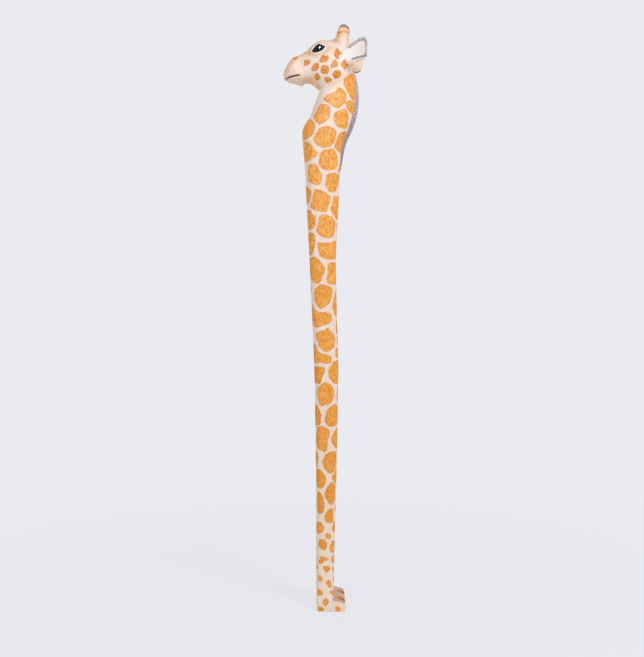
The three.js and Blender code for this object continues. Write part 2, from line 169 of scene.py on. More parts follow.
# Outlines on the left side of the neck and shaft: distance across from the middle, then height. A
# point past the edge of the shaft lies that much further round the corner.
PATCHES = [
    [(10.5, 403), (5.5, 398.5), (4, 394), (6.5, 389.5), (11.5, 383.3), (14.5, 382.8), (18, 386), (18, 399)],
    [(0.5, 390), (4.5, 388.5), (7, 385.5), (8.2, 380), (6.5, 377.5), (3.5, 375), (-0.5, 376.5), (-5, 379.5),
     (-8.6, 381.7), (-7.5, 384.2), (-2, 387)],
    [(10, 380.7), (15, 381), (18.5, 380), (18.5, 374), (14.5, 372.5), (10.5, 375.3), (9.3, 378)],
    [(-10.5, 378), (-8, 377.8), (-3.5, 376.3), (-1.5, 372), (0, 367.5), (-1.5, 365), (-4.5, 363), (-7, 364),
     (-11.5, 368.5), (-12.3, 371.5), (-11.2, 375.5)],
    [(6, 373.5), (8.5, 374.3), (11.5, 372.5), (14, 368), (15.6, 364.5), (15.5, 361.5), (14, 360.4),
     (9, 361.5), (6.5, 364), (3, 369.5), (3.5, 372)],
    [(-15.5, 367.5), (-10.5, 365), (-8, 361), (-8, 357), (-10, 354), (-14, 352.5), (-18.5, 353.5),
     (-19, 362)],
    [(1, 361.3), (5, 360), (8, 358.5), (9.3, 355), (8.5, 350), (6, 347), (1.5, 345.7), (-2, 346.5),
     (-5, 349), (-6.7, 352.5), (-4.5, 357.5), (-3, 360)],
    [(12.5, 357), (16, 358.5), (19.5, 357), (18.5, 346), (14, 343.3), (10.5, 344.5), (9.5, 347),
     (10.5, 352), (11.5, 355.5)],
    [(-14, 350.6), (-10, 349.5), (-6.5, 345), (-3.5, 341.5), (-5.5, 339), (-11.5, 336), (-14, 336.2),
     (-18, 337.5), (-18.5, 350)],
    [(7, 344.7), (10, 342.5), (11.2, 338), (11, 333), (9, 330), (3.5, 328.8), (0, 330.2), (-2.7, 333.5),
     (-2.3, 338), (-0.5, 342.5), (3, 343.6)],
    [(-7, 333.7), (-4.5, 332.5), (-3, 329.5), (-0.5, 326), (-0.8, 322.5), (-2, 318.7), (-4, 318), (-8, 319),
     (-10.5, 321.5), (-11, 326), (-10.8, 332), (-9.5, 333.2)],
    [(4.5, 326.3), (10.5, 326.7), (12.7, 325), (11.7, 320), (10, 314), (8.5, 313), (5, 313.5), (2.5, 317),
     (2, 319.5), (3, 323)],
    [(-12, 317), (-10, 315.5), (-8.5, 313), (-9, 308.5), (-10.5, 305), (-12, 304.7), (-15.5, 306),
     (-15.5, 316)],
    [(-5.5, 314.2), (-4, 314.4), (0, 313), (4, 310.5), (5.5, 308.5), (5.5, 305), (4, 301.5), (3, 298.3),
     (1, 297.8), (-5, 299), (-8, 300.8), (-8.8, 303), (-7.5, 307), (-6.7, 311.5)],
    [(10.5, 309.5), (8.5, 309), (7.5, 304.5), (6.3, 300), (7.5, 296.5), (10, 293.3), (11, 292.6),
     (14.5, 296), (15, 308)],
    [(-12, 300), (-10, 299), (-7.5, 296), (-5.5, 294), (-5.5, 290), (-6, 287), (-8, 285.3), (-11, 285),
     (-15, 287), (-15, 299)],
    [(0, 295.3), (4, 294.8), (7.5, 293), (9.3, 290), (9.2, 285), (8.3, 280.5), (6.5, 279), (4, 278.2),
     (-1, 279.8), (-4, 283), (-4, 286), (-2.5, 290), (-2, 294)],
    [(-10, 282.3), (-7.5, 281.8), (-5.8, 280), (-6, 274), (-7, 269), (-8.5, 266), (-10.5, 265.8),
     (-14, 267.5), (-14, 281)],
    [(-3, 274.8), (3, 274.3), (7, 274.8), (8.5, 276), (10.3, 275.3), (11, 268), (10, 264), (7.5, 262.3),
     (2, 262.5), (-1.5, 264.5), (-3, 269), (-3.7, 273.3)],
    [(-8.5, 263.3), (-6, 263.9), (-3.5, 262.3), (0, 257.5), (1.3, 254.5), (-0.3, 250), (-2, 246),
     (-4, 244.3), (-7, 245.2), (-9, 248), (-10.6, 254), (-10.4, 261)],
    [(4.2, 259.3), (9.5, 259.7), (13, 258.5), (13, 245), (9, 243.8), (5, 243.7), (2.7, 246), (2.3, 248),
     (3.5, 252.5), (3.9, 257)],
    [(-9.6, 244), (-8.9, 240.5), (-9.5, 236.7), (-12, 236), (-14, 240), (-12, 245)],
    [(-1.5, 243.2), (2, 242.5), (6, 240.5), (6, 236), (4.5, 231), (1.5, 227.5), (-1.5, 225.5), (-4, 225.7),
     (-6, 229), (-7.2, 233.5), (-6.8, 238), (-5.5, 241)],
    [(9.2, 238.5), (7.5, 232), (6.4, 226), (6.8, 223.5), (8.3, 220), (10, 219.5), (13.5, 223), (13.5, 236)],
    [(-10, 229), (-8.3, 227.3), (-7, 223.7), (-2, 222.4), (3.5, 221.8), (4.8, 220.3), (4.7, 215.7),
     (-1.5, 212.6), (-5.5, 211.3), (-8.3, 212.2), (-10, 214), (-13, 216), (-13, 227)],
    [(9.2, 217.5), (8.5, 212), (8.3, 208), (9, 206), (12, 207), (13, 212), (12, 217)],
    [(2, 210.3), (4.5, 208.3), (6.2, 205.5), (7.1, 202), (6.3, 197.5), (4, 194.5), (0.8, 192.9),
     (-1.5, 193.5), (-4.5, 196.5), (-6, 200.5), (-6.9, 204), (-6.5, 206.5), (-4, 207.9), (0, 208.8)],
    [(9.2, 196.5), (7.5, 194), (6.8, 190.5), (8, 188.3), (9.5, 188), (12.5, 189), (12.8, 195)],
    [(-9.8, 199.7), (-8.2, 198.5), (-7, 195), (-5.5, 192.5), (-3, 191), (1, 190), (3.8, 188.5), (3.8, 186),
     (2.5, 184.5), (-1, 184.3), (-4, 185), (-8, 184.3), (-9.5, 184.8), (-12.8, 187), (-13, 198)],
    [(7, 185.6), (5, 184.5), (2.8, 180.5), (1.8, 177), (2.7, 172.5), (5, 169.7), (7, 168.6), (9, 169.5),
     (12, 171.5), (12, 184), (9, 185.7)],
    [(-9, 181.2), (-3, 180.9), (-1.2, 180.5), (-2, 176.5), (-3.5, 172.5), (-4.5, 169.5), (-6, 169),
     (-9, 169.2), (-12, 170.5), (-12, 180.5)],
    [(-1, 169.2), (1, 168.8), (3.5, 167), (5.2, 163.5), (5.5, 160), (4.2, 156), (2, 153.3), (-0.5, 152.8),
     (-4, 151.8), (-5.2, 152.8), (-6, 156), (-7, 160), (-6.6, 164), (-4.5, 167.5)],
    [(8.5, 168), (8, 163), (7.8, 158), (8.4, 153.5), (11, 153.5), (12.2, 160), (11, 167.5)],
    [(-8.8, 153.2), (-7.5, 152.3), (-6, 149.5), (-4.5, 146), (-4.7, 142), (-5.2, 138), (-7.5, 137.2),
     (-9, 137), (-11.7, 138.5), (-11.7, 151.5)],
    [(6, 153.3), (4, 152), (1, 149.8), (-0.2, 147), (-0.8, 143), (-1, 139.8), (1, 137.5), (3, 136.6),
     (5.5, 137), (7.7, 138.5), (8.6, 143), (8.4, 149), (7.5, 152.2)],
    [(-4, 136.6), (-2, 135.9), (0.5, 134.5), (2.2, 131.5), (1.3, 127.5), (0.5, 122.5), (0.2, 119),
     (-1.5, 117.4), (-4, 118.5), (-6.5, 120.5), (-7.6, 125), (-7.3, 131), (-6.8, 134.5), (-5.5, 136.3)],
    [(8.5, 135.8), (7, 133.8), (5, 131), (3.6, 127), (5, 123), (7, 120.2), (8.5, 119.8), (11, 122),
     (11.2, 134)],
    [(-8.4, 118.7), (-7.3, 117.7), (-6.4, 113), (-6.6, 109), (-7.5, 105.3), (-8.8, 105), (-10.8, 107.5),
     (-10.8, 117)],
    [(1.5, 116.4), (6.8, 117.2), (7.5, 113), (7.4, 108), (6.5, 104), (4.5, 101.7), (3, 100.8), (1, 102.3),
     (-1.2, 105), (-2.6, 109), (-1.7, 113)],
    [(-6.5, 104.3), (-4.5, 103), (-2, 100.5), (-0.5, 98), (-0.4, 94), (-2.3, 91), (-4.5, 89.5),
     (-6.3, 90.5), (-7.3, 93), (-7.9, 98), (-7.7, 102.5)],
    [(7.3, 103), (6, 100.8), (4.7, 99.5), (4.4, 97), (6, 95), (7.3, 93), (9.8, 94.5), (9.8, 102)],
    [(4, 93.8), (2, 91.8), (0, 89), (-0.8, 85.5), (0.5, 81.5), (2, 79), (4, 77.6), (5.8, 78.5), (6.7, 83),
     (6.7, 89), (6, 92.8)],
    [(-5.5, 86.7), (-3.8, 85.3), (-2, 81.5), (-1.3, 76.5), (-2, 72), (-3.5, 71.2), (-5.8, 71), (-6.5, 75.5),
     (-6.7, 81), (-6.2, 85)],
    [(7.1, 76), (6.6, 73), (7.1, 71), (9.2, 71.5), (9.2, 76)],
    [(3.5, 74.2), (1.5, 73), (0.2, 70.5), (-1, 67.5), (0, 65), (2, 63.7), (4.8, 63.6), (5.3, 67),
     (5.2, 71.5), (4.5, 73.8)],
    [(-5.2, 64.6), (-3, 62.8), (-1.4, 60), (-2.5, 57), (-4.2, 55.4), (-6, 56.5), (-6.8, 60), (-6.2, 63.3)],
    [(6.5, 63.9), (5.4, 61.5), (5.2, 58.5), (6.3, 56), (7.4, 55.3), (9.3, 57.5), (9.2, 62.5)],
    [(1, 56), (2.5, 55.5), (4, 53.6), (3, 52.3), (1.5, 51.9), (0.2, 53), (0.2, 55.3)],
    [(-3.8, 51.3), (-1.5, 51.2), (0.2, 50), (0.9, 47.5), (0.3, 44.3), (-1, 43.8), (-3, 44.6), (-4.8, 46.2),
     (-5, 49), (-4.5, 50.8)],
    [(5.5, 49.8), (4.2, 48), (3.3, 45), (4, 42.5), (5.5, 41.3), (7.2, 41.5), (9.2, 43.5), (8.8, 48.5),
     (7, 50)],
    [(-3.6, 38.4), (-1, 38.4), (1, 37.6), (2.4, 36.4), (0.8, 35.7), (-1, 36), (-1.4, 34.6), (-3, 33.3),
     (-4.8, 34), (-4.6, 35.8), (-3.6, 36.6)],
    [(5.2, 38.3), (4.4, 37), (5.2, 35.2), (6.6, 33.2), (8.5, 34), (8.2, 38), (6.2, 38.9)],
    [(-7, 33.3), (-5.6, 31.5), (-6, 29.5), (-7.2, 28.8), (-8.8, 30), (-8.7, 33)],
    [(-0.8, 32.1), (0.5, 31.4), (2.5, 31.6), (3.4, 30), (1.8, 28.4), (0.5, 27.7), (-0.8, 29), (-1.4, 30.5)],
    [(-4.5, 25.1), (-3, 24.5), (-2, 23.2), (-2.8, 21.7), (-4.3, 21.1), (-5.3, 22.8), (-5.2, 24.3)],
    [(2, 22.1), (3.8, 21.6), (4.7, 20.3), (4.3, 17.4), (3.2, 17.3), (1.6, 19), (1.2, 21)],
    [(-4.5, 15.5), (-3, 15), (-1.8, 13.8), (-2.8, 12), (-4.5, 11.7), (-5.7, 13.2), (-5.3, 14.8)],
    [(0.2, 9.8), (1.7, 9), (2.5, 7.3), (1.2, 5.3), (-0.3, 5.1), (-1.6, 6.8), (-1.2, 8.6)],
    [(-4, 4.3), (-2.5, 3.4), (-1.4, 2.2), (-2.5, 0.9), (-4.3, 0.8), (-5, 2.2), (-4.8, 3.6)],
    [(-15.4, 383), (-14.7, 378), (-14.9, 373.5), (-17, 371), (-20, 372.5), (-20, 382)],
]

# Outlines on each side of the face: distance along X, then height.
FACE_PATCHES = [
    [(-24.8, 413.7), (-23.5, 413.2), (-22, 414), (-20.9, 415.4), (-22, 416.6), (-24.2, 415.6)],
    [(-15.8, 411.6), (-14.3, 412.4), (-12, 411.7), (-11.7, 409.8), (-13, 408.5), (-15, 408), (-16, 407.7),
     (-15.9, 410)],
    [(-9.6, 406.5), (-8.3, 408.4), (-6, 408.8), (-5, 407.5), (-5.2, 405), (-7, 403.7), (-9.8, 404.4)],
    [(-3.9, 412), (-2.8, 414), (-1.6, 415.3), (-0.6, 414), (2, 414.1), (2.1, 411.5), (1, 409.5),
     (-1, 409.5), (-3.9, 409.6)],
    [(-3.1, 402.3), (-2.7, 406), (-1.5, 406.9), (2, 405.4), (2.4, 402), (1.2, 400.4), (-1.5, 401)],
    [(4.2, 405), (4.8, 408), (6.5, 410.6), (8.2, 410), (9.1, 407.5), (9, 405.4), (6.5, 405.2), (5, 404.6)],
    [(8.8, 420.1), (10.2, 418.3), (11.9, 416.2), (10.7, 414.7), (9.6, 411.6), (8.3, 411.9), (6.6, 414),
     (7, 416.5)],
    [(14.3, 411.2), (15.3, 409.5), (17.1, 407.7), (15.5, 405.5), (14.5, 403.6), (13.2, 405.3), (11.9, 407),
     (13, 409)],
    [(8, 403.1), (10, 402.5), (11.4, 401.2), (11, 399), (9.7, 397.1), (7.3, 397.2), (5.7, 398.7),
     (6, 400.7)],
    [(-6, 401.8), (-5, 400.5), (-3.8, 399), (-5, 397.2), (-6.5, 397.2), (-7.9, 399), (-7.1, 400.8)],
    [(1.5, 398.4), (3, 397.5), (4.7, 395.8), (3, 394.6), (1.2, 394.3), (-0.1, 395.5), (-0.3, 397.3)],
]
# Patches on the back of the head: distance along Y, height.
CROWN_PATCHES = [
    [(-5.6, 412), (-4, 414.4), (-2.2, 413.6), (-2, 410.8), (-4.2, 409.4)],
    [(1.4, 415.6), (2.6, 418), (5, 417.6), (5.2, 415), (3.2, 413.6)],
    [(1.2, 409), (2.4, 411.2), (4.8, 410.4), (4.6, 407.6), (2.4, 406.8)],
    [(-3.4, 419.4), (-1.6, 421), (0, 419.8), (-0.8, 417.6), (-2.8, 417.4)],
    [(-6.8, 405.6), (-5.4, 407.6), (-3, 406.6), (-3.4, 404.4), (-5.6, 403.8)],
]

# Patches of the far half: the height, how far apart they are across and down, and their size as a share
# of the first.
CELLS = [
    (0, 8, 9.5, 0.26), (42, 7.5, 10, 0.28), (58, 8, 13, 0.42), (80, 9, 17, 0.62), (150, 10.5, 17.5, 0.62),
    (260, 13, 18, 0.62), (330, 14.5, 17, 0.62), (400, 14.5, 16, 0.62),
]
CELL_GAP = 2.6
BEARINGS = 240  # directions round the shaft in which the way round is worked out
TOP_ROW = 410  # height up to which it is worked out
OFF_LIMITS = 40  # taken from a patch's depth where it isn't allowed
TONES = 600  # more than there are patches, so that each has its own
FIRST_TONE = (0, 100, 500, 520)  # of the left side's patches, the far half's, the face's, the crown's
OUTSIDE = -20.0  # depth where no patch is near
LEAST_DEPTH = 1.4  # a patch of the far half that is nowhere deeper is left out

# Narrow strokes of the peach wash and of painted shade: a quadratic curve's end, bend and end, then width and
# strength.
# The strokes along the creases of the nose and under the eye, under the jaw and under the lower lip are
# painted shade.
WASH_AND_SHADE_LINES = [
    (((-21, 414.4), (-25.3, 411.2), (-28.4, 404.3)), 0.8, 0.55),
    (((-31, 402.4), (-30.4, 407.6), (-26.2, 413.6)), 1.3, 0.5),
    (((-13.4, 398.6), (-10, 398.6), (-4.6, 392.8)), 1.2, 0.6),
    (((-20, 396.4), (-27, 397.4), (-29.8, 399.2)), 0.9, 0.4),
    (((-23, 416.4), (-14, 419.5), (-8.6, 426)), 1, 0.7),
    (((-10.8, 417.4), (-5.5, 415), (1.5, 418)), 0.9, 0.4),
]

# Peach-coloured washes and painted shade on the head and neck: distance along X, height, reach, strength.
# Those under the jaw and lower lip, in the groove below the jaw and below the ear, where it shades the head,
# are painted shade.
WASHES_AND_SHADE = [
    (-27, 409, 2.8, 0.75), (-28.5, 404.5, 2.4, 0.6), (-25.8, 413, 2.6, 0.7), (-22.5, 415.8, 2, 0.5),
    (-19.5, 417.5, 2.4, 0.7), (-17, 418.8, 2, 0.6), (-15, 419.5, 2.4, 0.8), (-13, 418.5, 2.6, 0.75),
    (-10.5, 423.8, 2, 0.9), (-12, 421.5, 2, 0.8), (-7.5, 427.2, 2, 0.8), (-4, 428.5, 2, 0.5),
    (-4, 416.3, 2.6, 0.35), (1, 419.6, 2, 0.6), (4.5, 420.6, 2.2, 0.6), (-8.5, 416.3, 2.6, 0.4),
    (-26, 398.3, 2, 0.25), (-22, 397.5, 2.4, 0.25), (-18.5, 396.5, 2.4, 0.45), (-15, 398, 2.4, 0.6),
    (-11.5, 398, 2.8, 0.7), (-8, 395.5, 2.8, 0.75), (-5, 392.5, 2.4, 0.7), (7.5, 428.5, 3, 0.8),
    (10, 427.3, 3, 0.6), (14, 426, 3, 0.4), (21, 413, 3.6, 0.5), (20, 408.5, 2.6, 0.5), (12, 396, 2.8, 0.5),
    (8, 393, 2.4, 0.5), (4, 393, 2.4, 0.5), (-14, 368, 3, 0.3), (-16, 357, 3, 0.3), (-20, 401.5, 2.4, 0.5),
    (-17, 404, 2.4, 0.45), (2, 427, 4, 0.3), (16, 419, 3, 0.25), (-24, 403.5, 2.4, 0.6),
]
AMBIENT = 0.58  # strength of the light from all round

rng = np.random.default_rng(7)


# ---- Geometry helpers ----

def along_curve(a, b, c, d, t):
    """A point of the Catmull-Rom curve between b and c."""
    return 0.5 * (2 * b + (c - a) * t + (2 * a - 5 * b + 4 * c - d) * t**2 + (3 * b - a - 3 * c + d) * t**3)


def smooth_rows(rows, step):
    """Rows of numbers with Catmull-Rom rows between them, at most a step apart in their first column."""
    rows = np.array(rows, float)
    padded = np.vstack([2 * rows[0] - rows[1], rows, 2 * rows[-1] - rows[-2]])
    out = []
    for a, b, c, d in zip(padded, padded[1:], padded[2:], padded[3:]):
        count = max(2, math.ceil(abs(c[0] - b[0]) / step))
        out += [along_curve(a, b, c, d, t) for t in np.arange(count) / count]
    return np.array([*out, rows[-1]])


def closed_curve(corners, count):
    """Points round a closed Catmull-Rom curve."""
    corners = np.array(corners, float)
    per = count // len(corners)
    out = []
    for i in range(len(corners)):
        near = [corners[(i + k) % len(corners)] for k in (-1, 0, 1, 2)]
        out += [along_curve(*near, t) for t in np.arange(per) / per]
    return np.array(out)


def columns_at(rows, where):
    """Each column of rows after the first, at places along the first."""
    rows = np.asarray(rows, float)
    return [np.interp(where, rows[:, 0], column) for column in rows[:, 1:].T]


def superellipse(square):
    """The two coordinates of points round a superellipse of half width 1."""
    angle = np.arange(RING_POINTS) / RING_POINTS * 2 * np.pi
    return [np.sign(side) * np.abs(side) ** (2 / square) for side in (np.cos(angle), np.sin(angle))]


def reach(u, v, square):
    """How far out points are, as a share of a superellipse of half width 1."""
    return (np.abs(u) ** square + np.abs(v) ** square) ** (1 / square)


def loft(rings):
    """Vertices and faces of a closed solid through rings of points."""
    count, size = len(rings), len(rings[0])
    verts = np.vstack([np.vstack(rings), rings[0].mean(0), rings[-1].mean(0)])
    faces = []
    for r in range(count - 1):
        for i in range(size):
            j = (i + 1) % size
            faces.append((r * size + i, r * size + j, (r + 1) * size + j, (r + 1) * size + i))
    for i in range(size):
        j = (i + 1) % size
        faces.append((count * size, j, i))
        faces.append((count * size + 1, (count - 1) * size + i, (count - 1) * size + j))
    return verts, faces


def mesh_object(name, verts, faces):
    """An object from vertices in millimetres, with its faces turned outwards."""
    mesh = bpy.data.meshes.new(name)
    mesh.from_pydata((np.asarray(verts) * MM).tolist(), [], faces)
    tidy = bmesh.new()
    tidy.from_mesh(mesh)
    bmesh.ops.recalc_face_normals(tidy, faces=tidy.faces)
    tidy.to_mesh(mesh)
    tidy.free()
    obj = bpy.data.objects.new(name, mesh)
    bpy.context.scene.collection.objects.link(obj)
    return obj


def with_modifier(obj, kind, **settings):
    """Applies one modifier to an object's mesh."""
    modifier = obj.modifiers.new(kind, kind)
    for key, value in settings.items():
        setattr(modifier, key, value)
    bpy.context.view_layer.update()
    made = bpy.data.meshes.new_from_object(obj.evaluated_get(bpy.context.evaluated_depsgraph_get()))
    obj.modifiers.clear()
    old, obj.data = obj.data, made
    bpy.data.meshes.remove(old)
    made.name = obj.name


def remesh(obj, size):
    with_modifier(obj, "REMESH", mode="VOXEL", voxel_size=size * MM, adaptivity=0)


def vectors_of(obj, name):
    values = np.empty(len(obj.data.vertices) * 3, np.float32)
    obj.data.vertices.foreach_get(name, values)
    return values.reshape(-1, 3).astype(float)


def points_of(obj):
    return vectors_of(obj, "co") / MM


def set_points(obj, points):
    obj.data.vertices.foreach_set("co", (points * MM).astype(np.float32).ravel())
    obj.data.update()


def relax(obj, rounds, weight=1.0):
    """Moves each vertex towards the middle of its neighbours."""
    edges = np.empty(len(obj.data.edges) * 2, np.int32)
    obj.data.edges.foreach_get("vertices", edges)
    a, b = edges.reshape(-1, 2).T
    points = points_of(obj)
    share = np.broadcast_to(np.asarray(weight, float) * 0.6, len(points))[:, None]
    valence = np.bincount(np.concatenate([a, b]), minlength=len(points))[:, None]
    for _ in range(rounds):
        total = np.zeros_like(points)
        np.add.at(total, a, points[b])
        np.add.at(total, b, points[a])
        points += share * (total / valence - points)
    set_points(obj, points)


def push(obj, distance):
    """Moves each vertex along its normal by a distance in millimetres."""
    set_points(obj, points_of(obj) + vectors_of(obj, "normal") * np.asarray(distance)[:, None])


def settle(obj):
    """Keeps a mesh on or above the floor."""
    points = points_of(obj)
    points[:, 2] = np.maximum(points[:, 2], 0)
    set_points(obj, points)


def bell(distance, width):
    return np.exp(-((distance / width) ** 2))


def step_between(value, low, high):
    t = np.clip((value - low) / (high - low), 0, 1)
    return t * t * (3 - 2 * t)


def attribute(obj, name, values):
    layer = obj.data.attributes.new(name, "FLOAT", "POINT")
    layer.data.foreach_set("value", np.asarray(values, np.float32))


def noise_at(points, scale, seed=0.0):
    """Smooth noise at points, with a wavelength in millimetres along each axis."""
    return np.array([noise.noise(Vector(p)) for p in points / np.asarray(scale, float) + seed])


def wander_at(points, scale, seed):
    """Smooth noise in two directions, to make an outline uneven."""
    return np.stack([noise_at(points, scale, seed), noise_at(points, scale, seed + 20)], 1)


def facets(points, scale, seed=0.0):
    """Distance to the nearest of scattered seeds: flat knife cuts with soft ridges between them."""
    return np.array([noise.voronoi(Vector(p))[0][0] for p in points / np.asarray(scale, float) + seed])


def curve_distance(points, ends, count=60):
    """Distance in the XZ plane to a quadratic curve, and how far along it the nearest point is."""
    start, bend, end = np.array(ends, float)
    t = np.linspace(0, 1, count)[:, None]
    line = (1 - t) ** 2 * start + 2 * t * (1 - t) * bend + t * t * end
    away = np.linalg.norm(points[:, None, [0, 2]] - line[None], axis=2)
    return away.min(1), t[away.argmin(1), 0]


def outline_distance(points, outline):
    """Signed distance in a plane to a closed outline: negative inside."""
    after = np.roll(outline, -1, 0)
    span = after - outline
    rel = points[:, None] - outline[None]
    t = np.clip((rel * span).sum(2) / (span**2).sum(1), 0, 1)
    away = np.linalg.norm(rel - t[..., None] * span, axis=2).min(1)
    across, height = points[:, None, 0], points[:, None, 1]
    above = (outline[:, 1] > height) != (after[:, 1] > height)
    rise = np.where(span[:, 1] == 0, 1e-9, span[:, 1])
    cross = outline[:, 0] + (height - outline[:, 1]) * span[:, 0] / rise
    inside = (above & (across < cross)).sum(1) % 2 == 1
    return np.where(inside, -away, away)


SHAFT_ROWS = smooth_rows(SHAFT_SECTIONS, 1)
HEAD_ROWS = smooth_rows(HEAD_SECTIONS, 0.5)


def shaft_section(height):
    """Middle along X, half width, half depth and squareness of the shaft at heights."""
    front, back, depth, square = columns_at(SHAFT_ROWS, height)
    return (front + back) / 2, (back - front) / 2, depth, square


# ---- Shader helpers ----

def linear(*colour):
    """A colour given from 0 to 255 as it looks on a screen."""
    def channel(value):
        return value / 12.92 if value <= 0.04045 else ((value + 0.055) / 1.055) ** 2.4
    return (*(channel(value / 255) for value in colour), 1)


class Finish:
    """One material, built from named steps."""

    def __init__(self, name, roughness=0.5, specular=0.2):
        self.material = bpy.data.materials.new(name)
        self.material.use_nodes = True
        self.tree = self.material.node_tree
        self.shader = self.tree.nodes["Principled BSDF"]
        self.shader.inputs["Roughness"].default_value = roughness
        self.shader.inputs["Specular IOR Level"].default_value = specular
        self.place = self.node("ShaderNodeTexCoord").outputs["Object"]

    def node(self, kind, links=(), **settings):
        made = self.tree.nodes.new(kind)
        for key, value in settings.items():
            setattr(made, key, value)
        for key, value in dict(links).items():
            socket = made.inputs[key]
            if isinstance(value, bpy.types.NodeSocket):
                self.tree.links.new(value, socket)
            else:
                socket.default_value = value
        return made

    def value(self, name):
        return self.node("ShaderNodeAttribute", attribute_name=name).outputs["Fac"]

    def axis(self, number):
        """A coordinate in millimetres."""
        split = self.node("ShaderNodeSeparateXYZ", {0: self.place})
        return self.times(split.outputs[number], 1 / MM)

    def math(self, operation, a, b):
        return self.node("ShaderNodeMath", {0: a, 1: b}, operation=operation).outputs[0]

    def times(self, a, b):
        return self.math("MULTIPLY", a, b)

    def plus(self, a, b):
        return self.math("ADD", a, b)

    def noise(self, across, along, detail=3.0, rough=0.55, warp=0.0, seed=0.0):
        """Noise from 0 to 1 with a size across and along the stick, in millimetres."""
        scale = (1 / MM / across, 1 / MM / across, 1 / MM / along)
        moved = self.node("ShaderNodeMapping", {"Vector": self.place, "Scale": scale,
                                                "Location": (seed, seed, seed)})
        return self.node("ShaderNodeTexNoise", {"Vector": moved.outputs[0], "Scale": 1.0, "Detail": detail,
                                                "Roughness": rough, "Distortion": warp}).outputs[0]

    def ramp(self, value, low, high, start=0.0, end=1.0):
        return self.node("ShaderNodeMapRange", {0: value, 1: low, 2: high, 3: start, 4: end},
                         interpolation_type="SMOOTHSTEP").outputs[0]

    def cloud(self, low, high, *size, **more):
        """Noise that rises from 0 to 1 between two of its values."""
        return self.ramp(self.noise(*size, **more), low, high)

    def mix(self, factor, a, b, strength=None):
        """Colour a where the factor is 0, and b, or a share of b, where it is 1."""
        if strength is not None:
            factor = self.times(factor, strength)
        return self.node("ShaderNodeMix", {0: factor, 6: a, 7: b}, data_type="RGBA").outputs[2]

    def bump(self, height, distance, under=None):
        """Relief of a depth in millimetres, over any relief under it."""
        links = {"Height": height, "Distance": distance * MM, "Strength": 1.0}
        if under is not None:
            links["Normal"] = under
        return self.node("ShaderNodeBump", links).outputs[0]

    def wire(self, **sockets):
        names = {"colour": "Base Color", "rough": "Roughness", "normal": "Normal"}
        for key, value in sockets.items():
            self.tree.links.new(value, self.shader.inputs[names[key]])
        return self.material


# Colours
CREAM = linear(235, 215, 201)
CREAM_LOW = linear(234, 213, 191)
CREAM_THIN = linear(224, 194, 168)
CREAM_BRIGHT = linear(248, 236, 226)
LID_CREAM = linear(252, 242, 234)
HOLLOW = linear(253, 246, 241)
HOLLOW_SHADE = linear(248, 240, 234)
ORANGE = linear(237, 157, 50)
ORANGE_LIGHT = linear(251, 190, 112)
ORANGE_DEEP = linear(212, 128, 26)
ORANGE_BROWN = linear(186, 104, 32)
BAND_PALE = linear(246, 214, 184)
PEACH = linear(222, 168, 112)
GREY = linear(182, 170, 170)
GREY_LIGHT = linear(218, 208, 206)
GREY_DARK = linear(132, 118, 120)
LIP_GREY = linear(108, 94, 94)
BROWN = linear(84, 54, 48)
SHADED_TAN = linear(226, 196, 172)
TAN_DARK = linear(184, 150, 126)
SLIT_BROWN = linear(196, 122, 62)
WOOD = linear(198, 156, 108)
WOOD_DARK = linear(160, 116, 74)
EYE_BLACK = linear(10, 6, 12)
REFLECTION_VIOLET = linear(62, 50, 72)
BACKDROP = linear(234, 235, 240)
FLOOR_PALE = (0.8, 0.805, 0.84, 1)


def painted_base(finish):
    """Cream paint brushed over the wood, warmer towards the foot."""
    worn = finish.cloud(0.46, 0.76, 0.9, 6, 5, 0.65, seed=3)
    cloudy = finish.cloud(0.35, 0.75, 7, 16, seed=8)
    bright = finish.cloud(0.5, 0.72, 1.6, 5, 3, 0.6, seed=12)
    base = finish.mix(finish.ramp(finish.axis(2), 20, 330), CREAM_LOW, CREAM)
    base = finish.mix(worn, base, CREAM_THIN, 0.4)
    base = finish.mix(cloudy, base, CREAM_THIN, 0.2)
    return finish.mix(bright, base, CREAM_BRIGHT, 0.5)


def brushed_orange(finish, tone):
    """Orange paint in short strokes down the stick, each patch a little lighter or darker, and deeper towards
    the foot.
    """
    strokes = finish.noise(0.8, 2.2, 5, 0.62, 1.2, seed=1)
    dabs = finish.noise(1.6, 2.8, 4, 0.6, 0.8, seed=5)
    orange = finish.mix(finish.ramp(strokes, 0.48, 0.6), ORANGE, ORANGE_LIGHT)
    orange = finish.mix(finish.ramp(strokes, 0.49, 0.39), orange, ORANGE_DEEP)
    orange = finish.mix(finish.ramp(dabs, 0.5, 0.66), orange, ORANGE_LIGHT, 0.7)
    orange = finish.mix(finish.ramp(dabs, 0.47, 0.32), orange, ORANGE_DEEP, 0.75)
    deepening = finish.plus(finish.times(tone, 0.25), finish.ramp(finish.axis(2), 400, 60, 0, 0.28))
    return finish.mix(deepening, orange, ORANGE_DEEP)


def brush_relief(finish, mask=None):
    """Brush ridges over the wood's grain, with the patches' paint a touch thicker."""
    grain = finish.bump(finish.noise(0.45, 14, 4, 0.6, seed=11), 0.06)
    ridges = finish.bump(finish.noise(0.6, 3.2, 3, 0.6, 0.3, seed=2), 0.09, grain)
    return ridges if mask is None else finish.bump(mask, 0.06, ridges)


def satin(finish, low=0.42, high=0.62):
    return finish.ramp(finish.noise(2.5, 6, seed=6), 0.3, 0.7, low, high)


def wobble(finish, size, span):
    """Noise either side of nothing, to make painted edges uneven."""
    return finish.times(finish.math("SUBTRACT", finish.noise(size, size, 3, 0.6, seed=9), 0.5), span)


def uneven(finish, name, size, span):
    """An attribute with its edges made uneven."""
    return finish.plus(finish.value(name), wobble(finish, size, span))


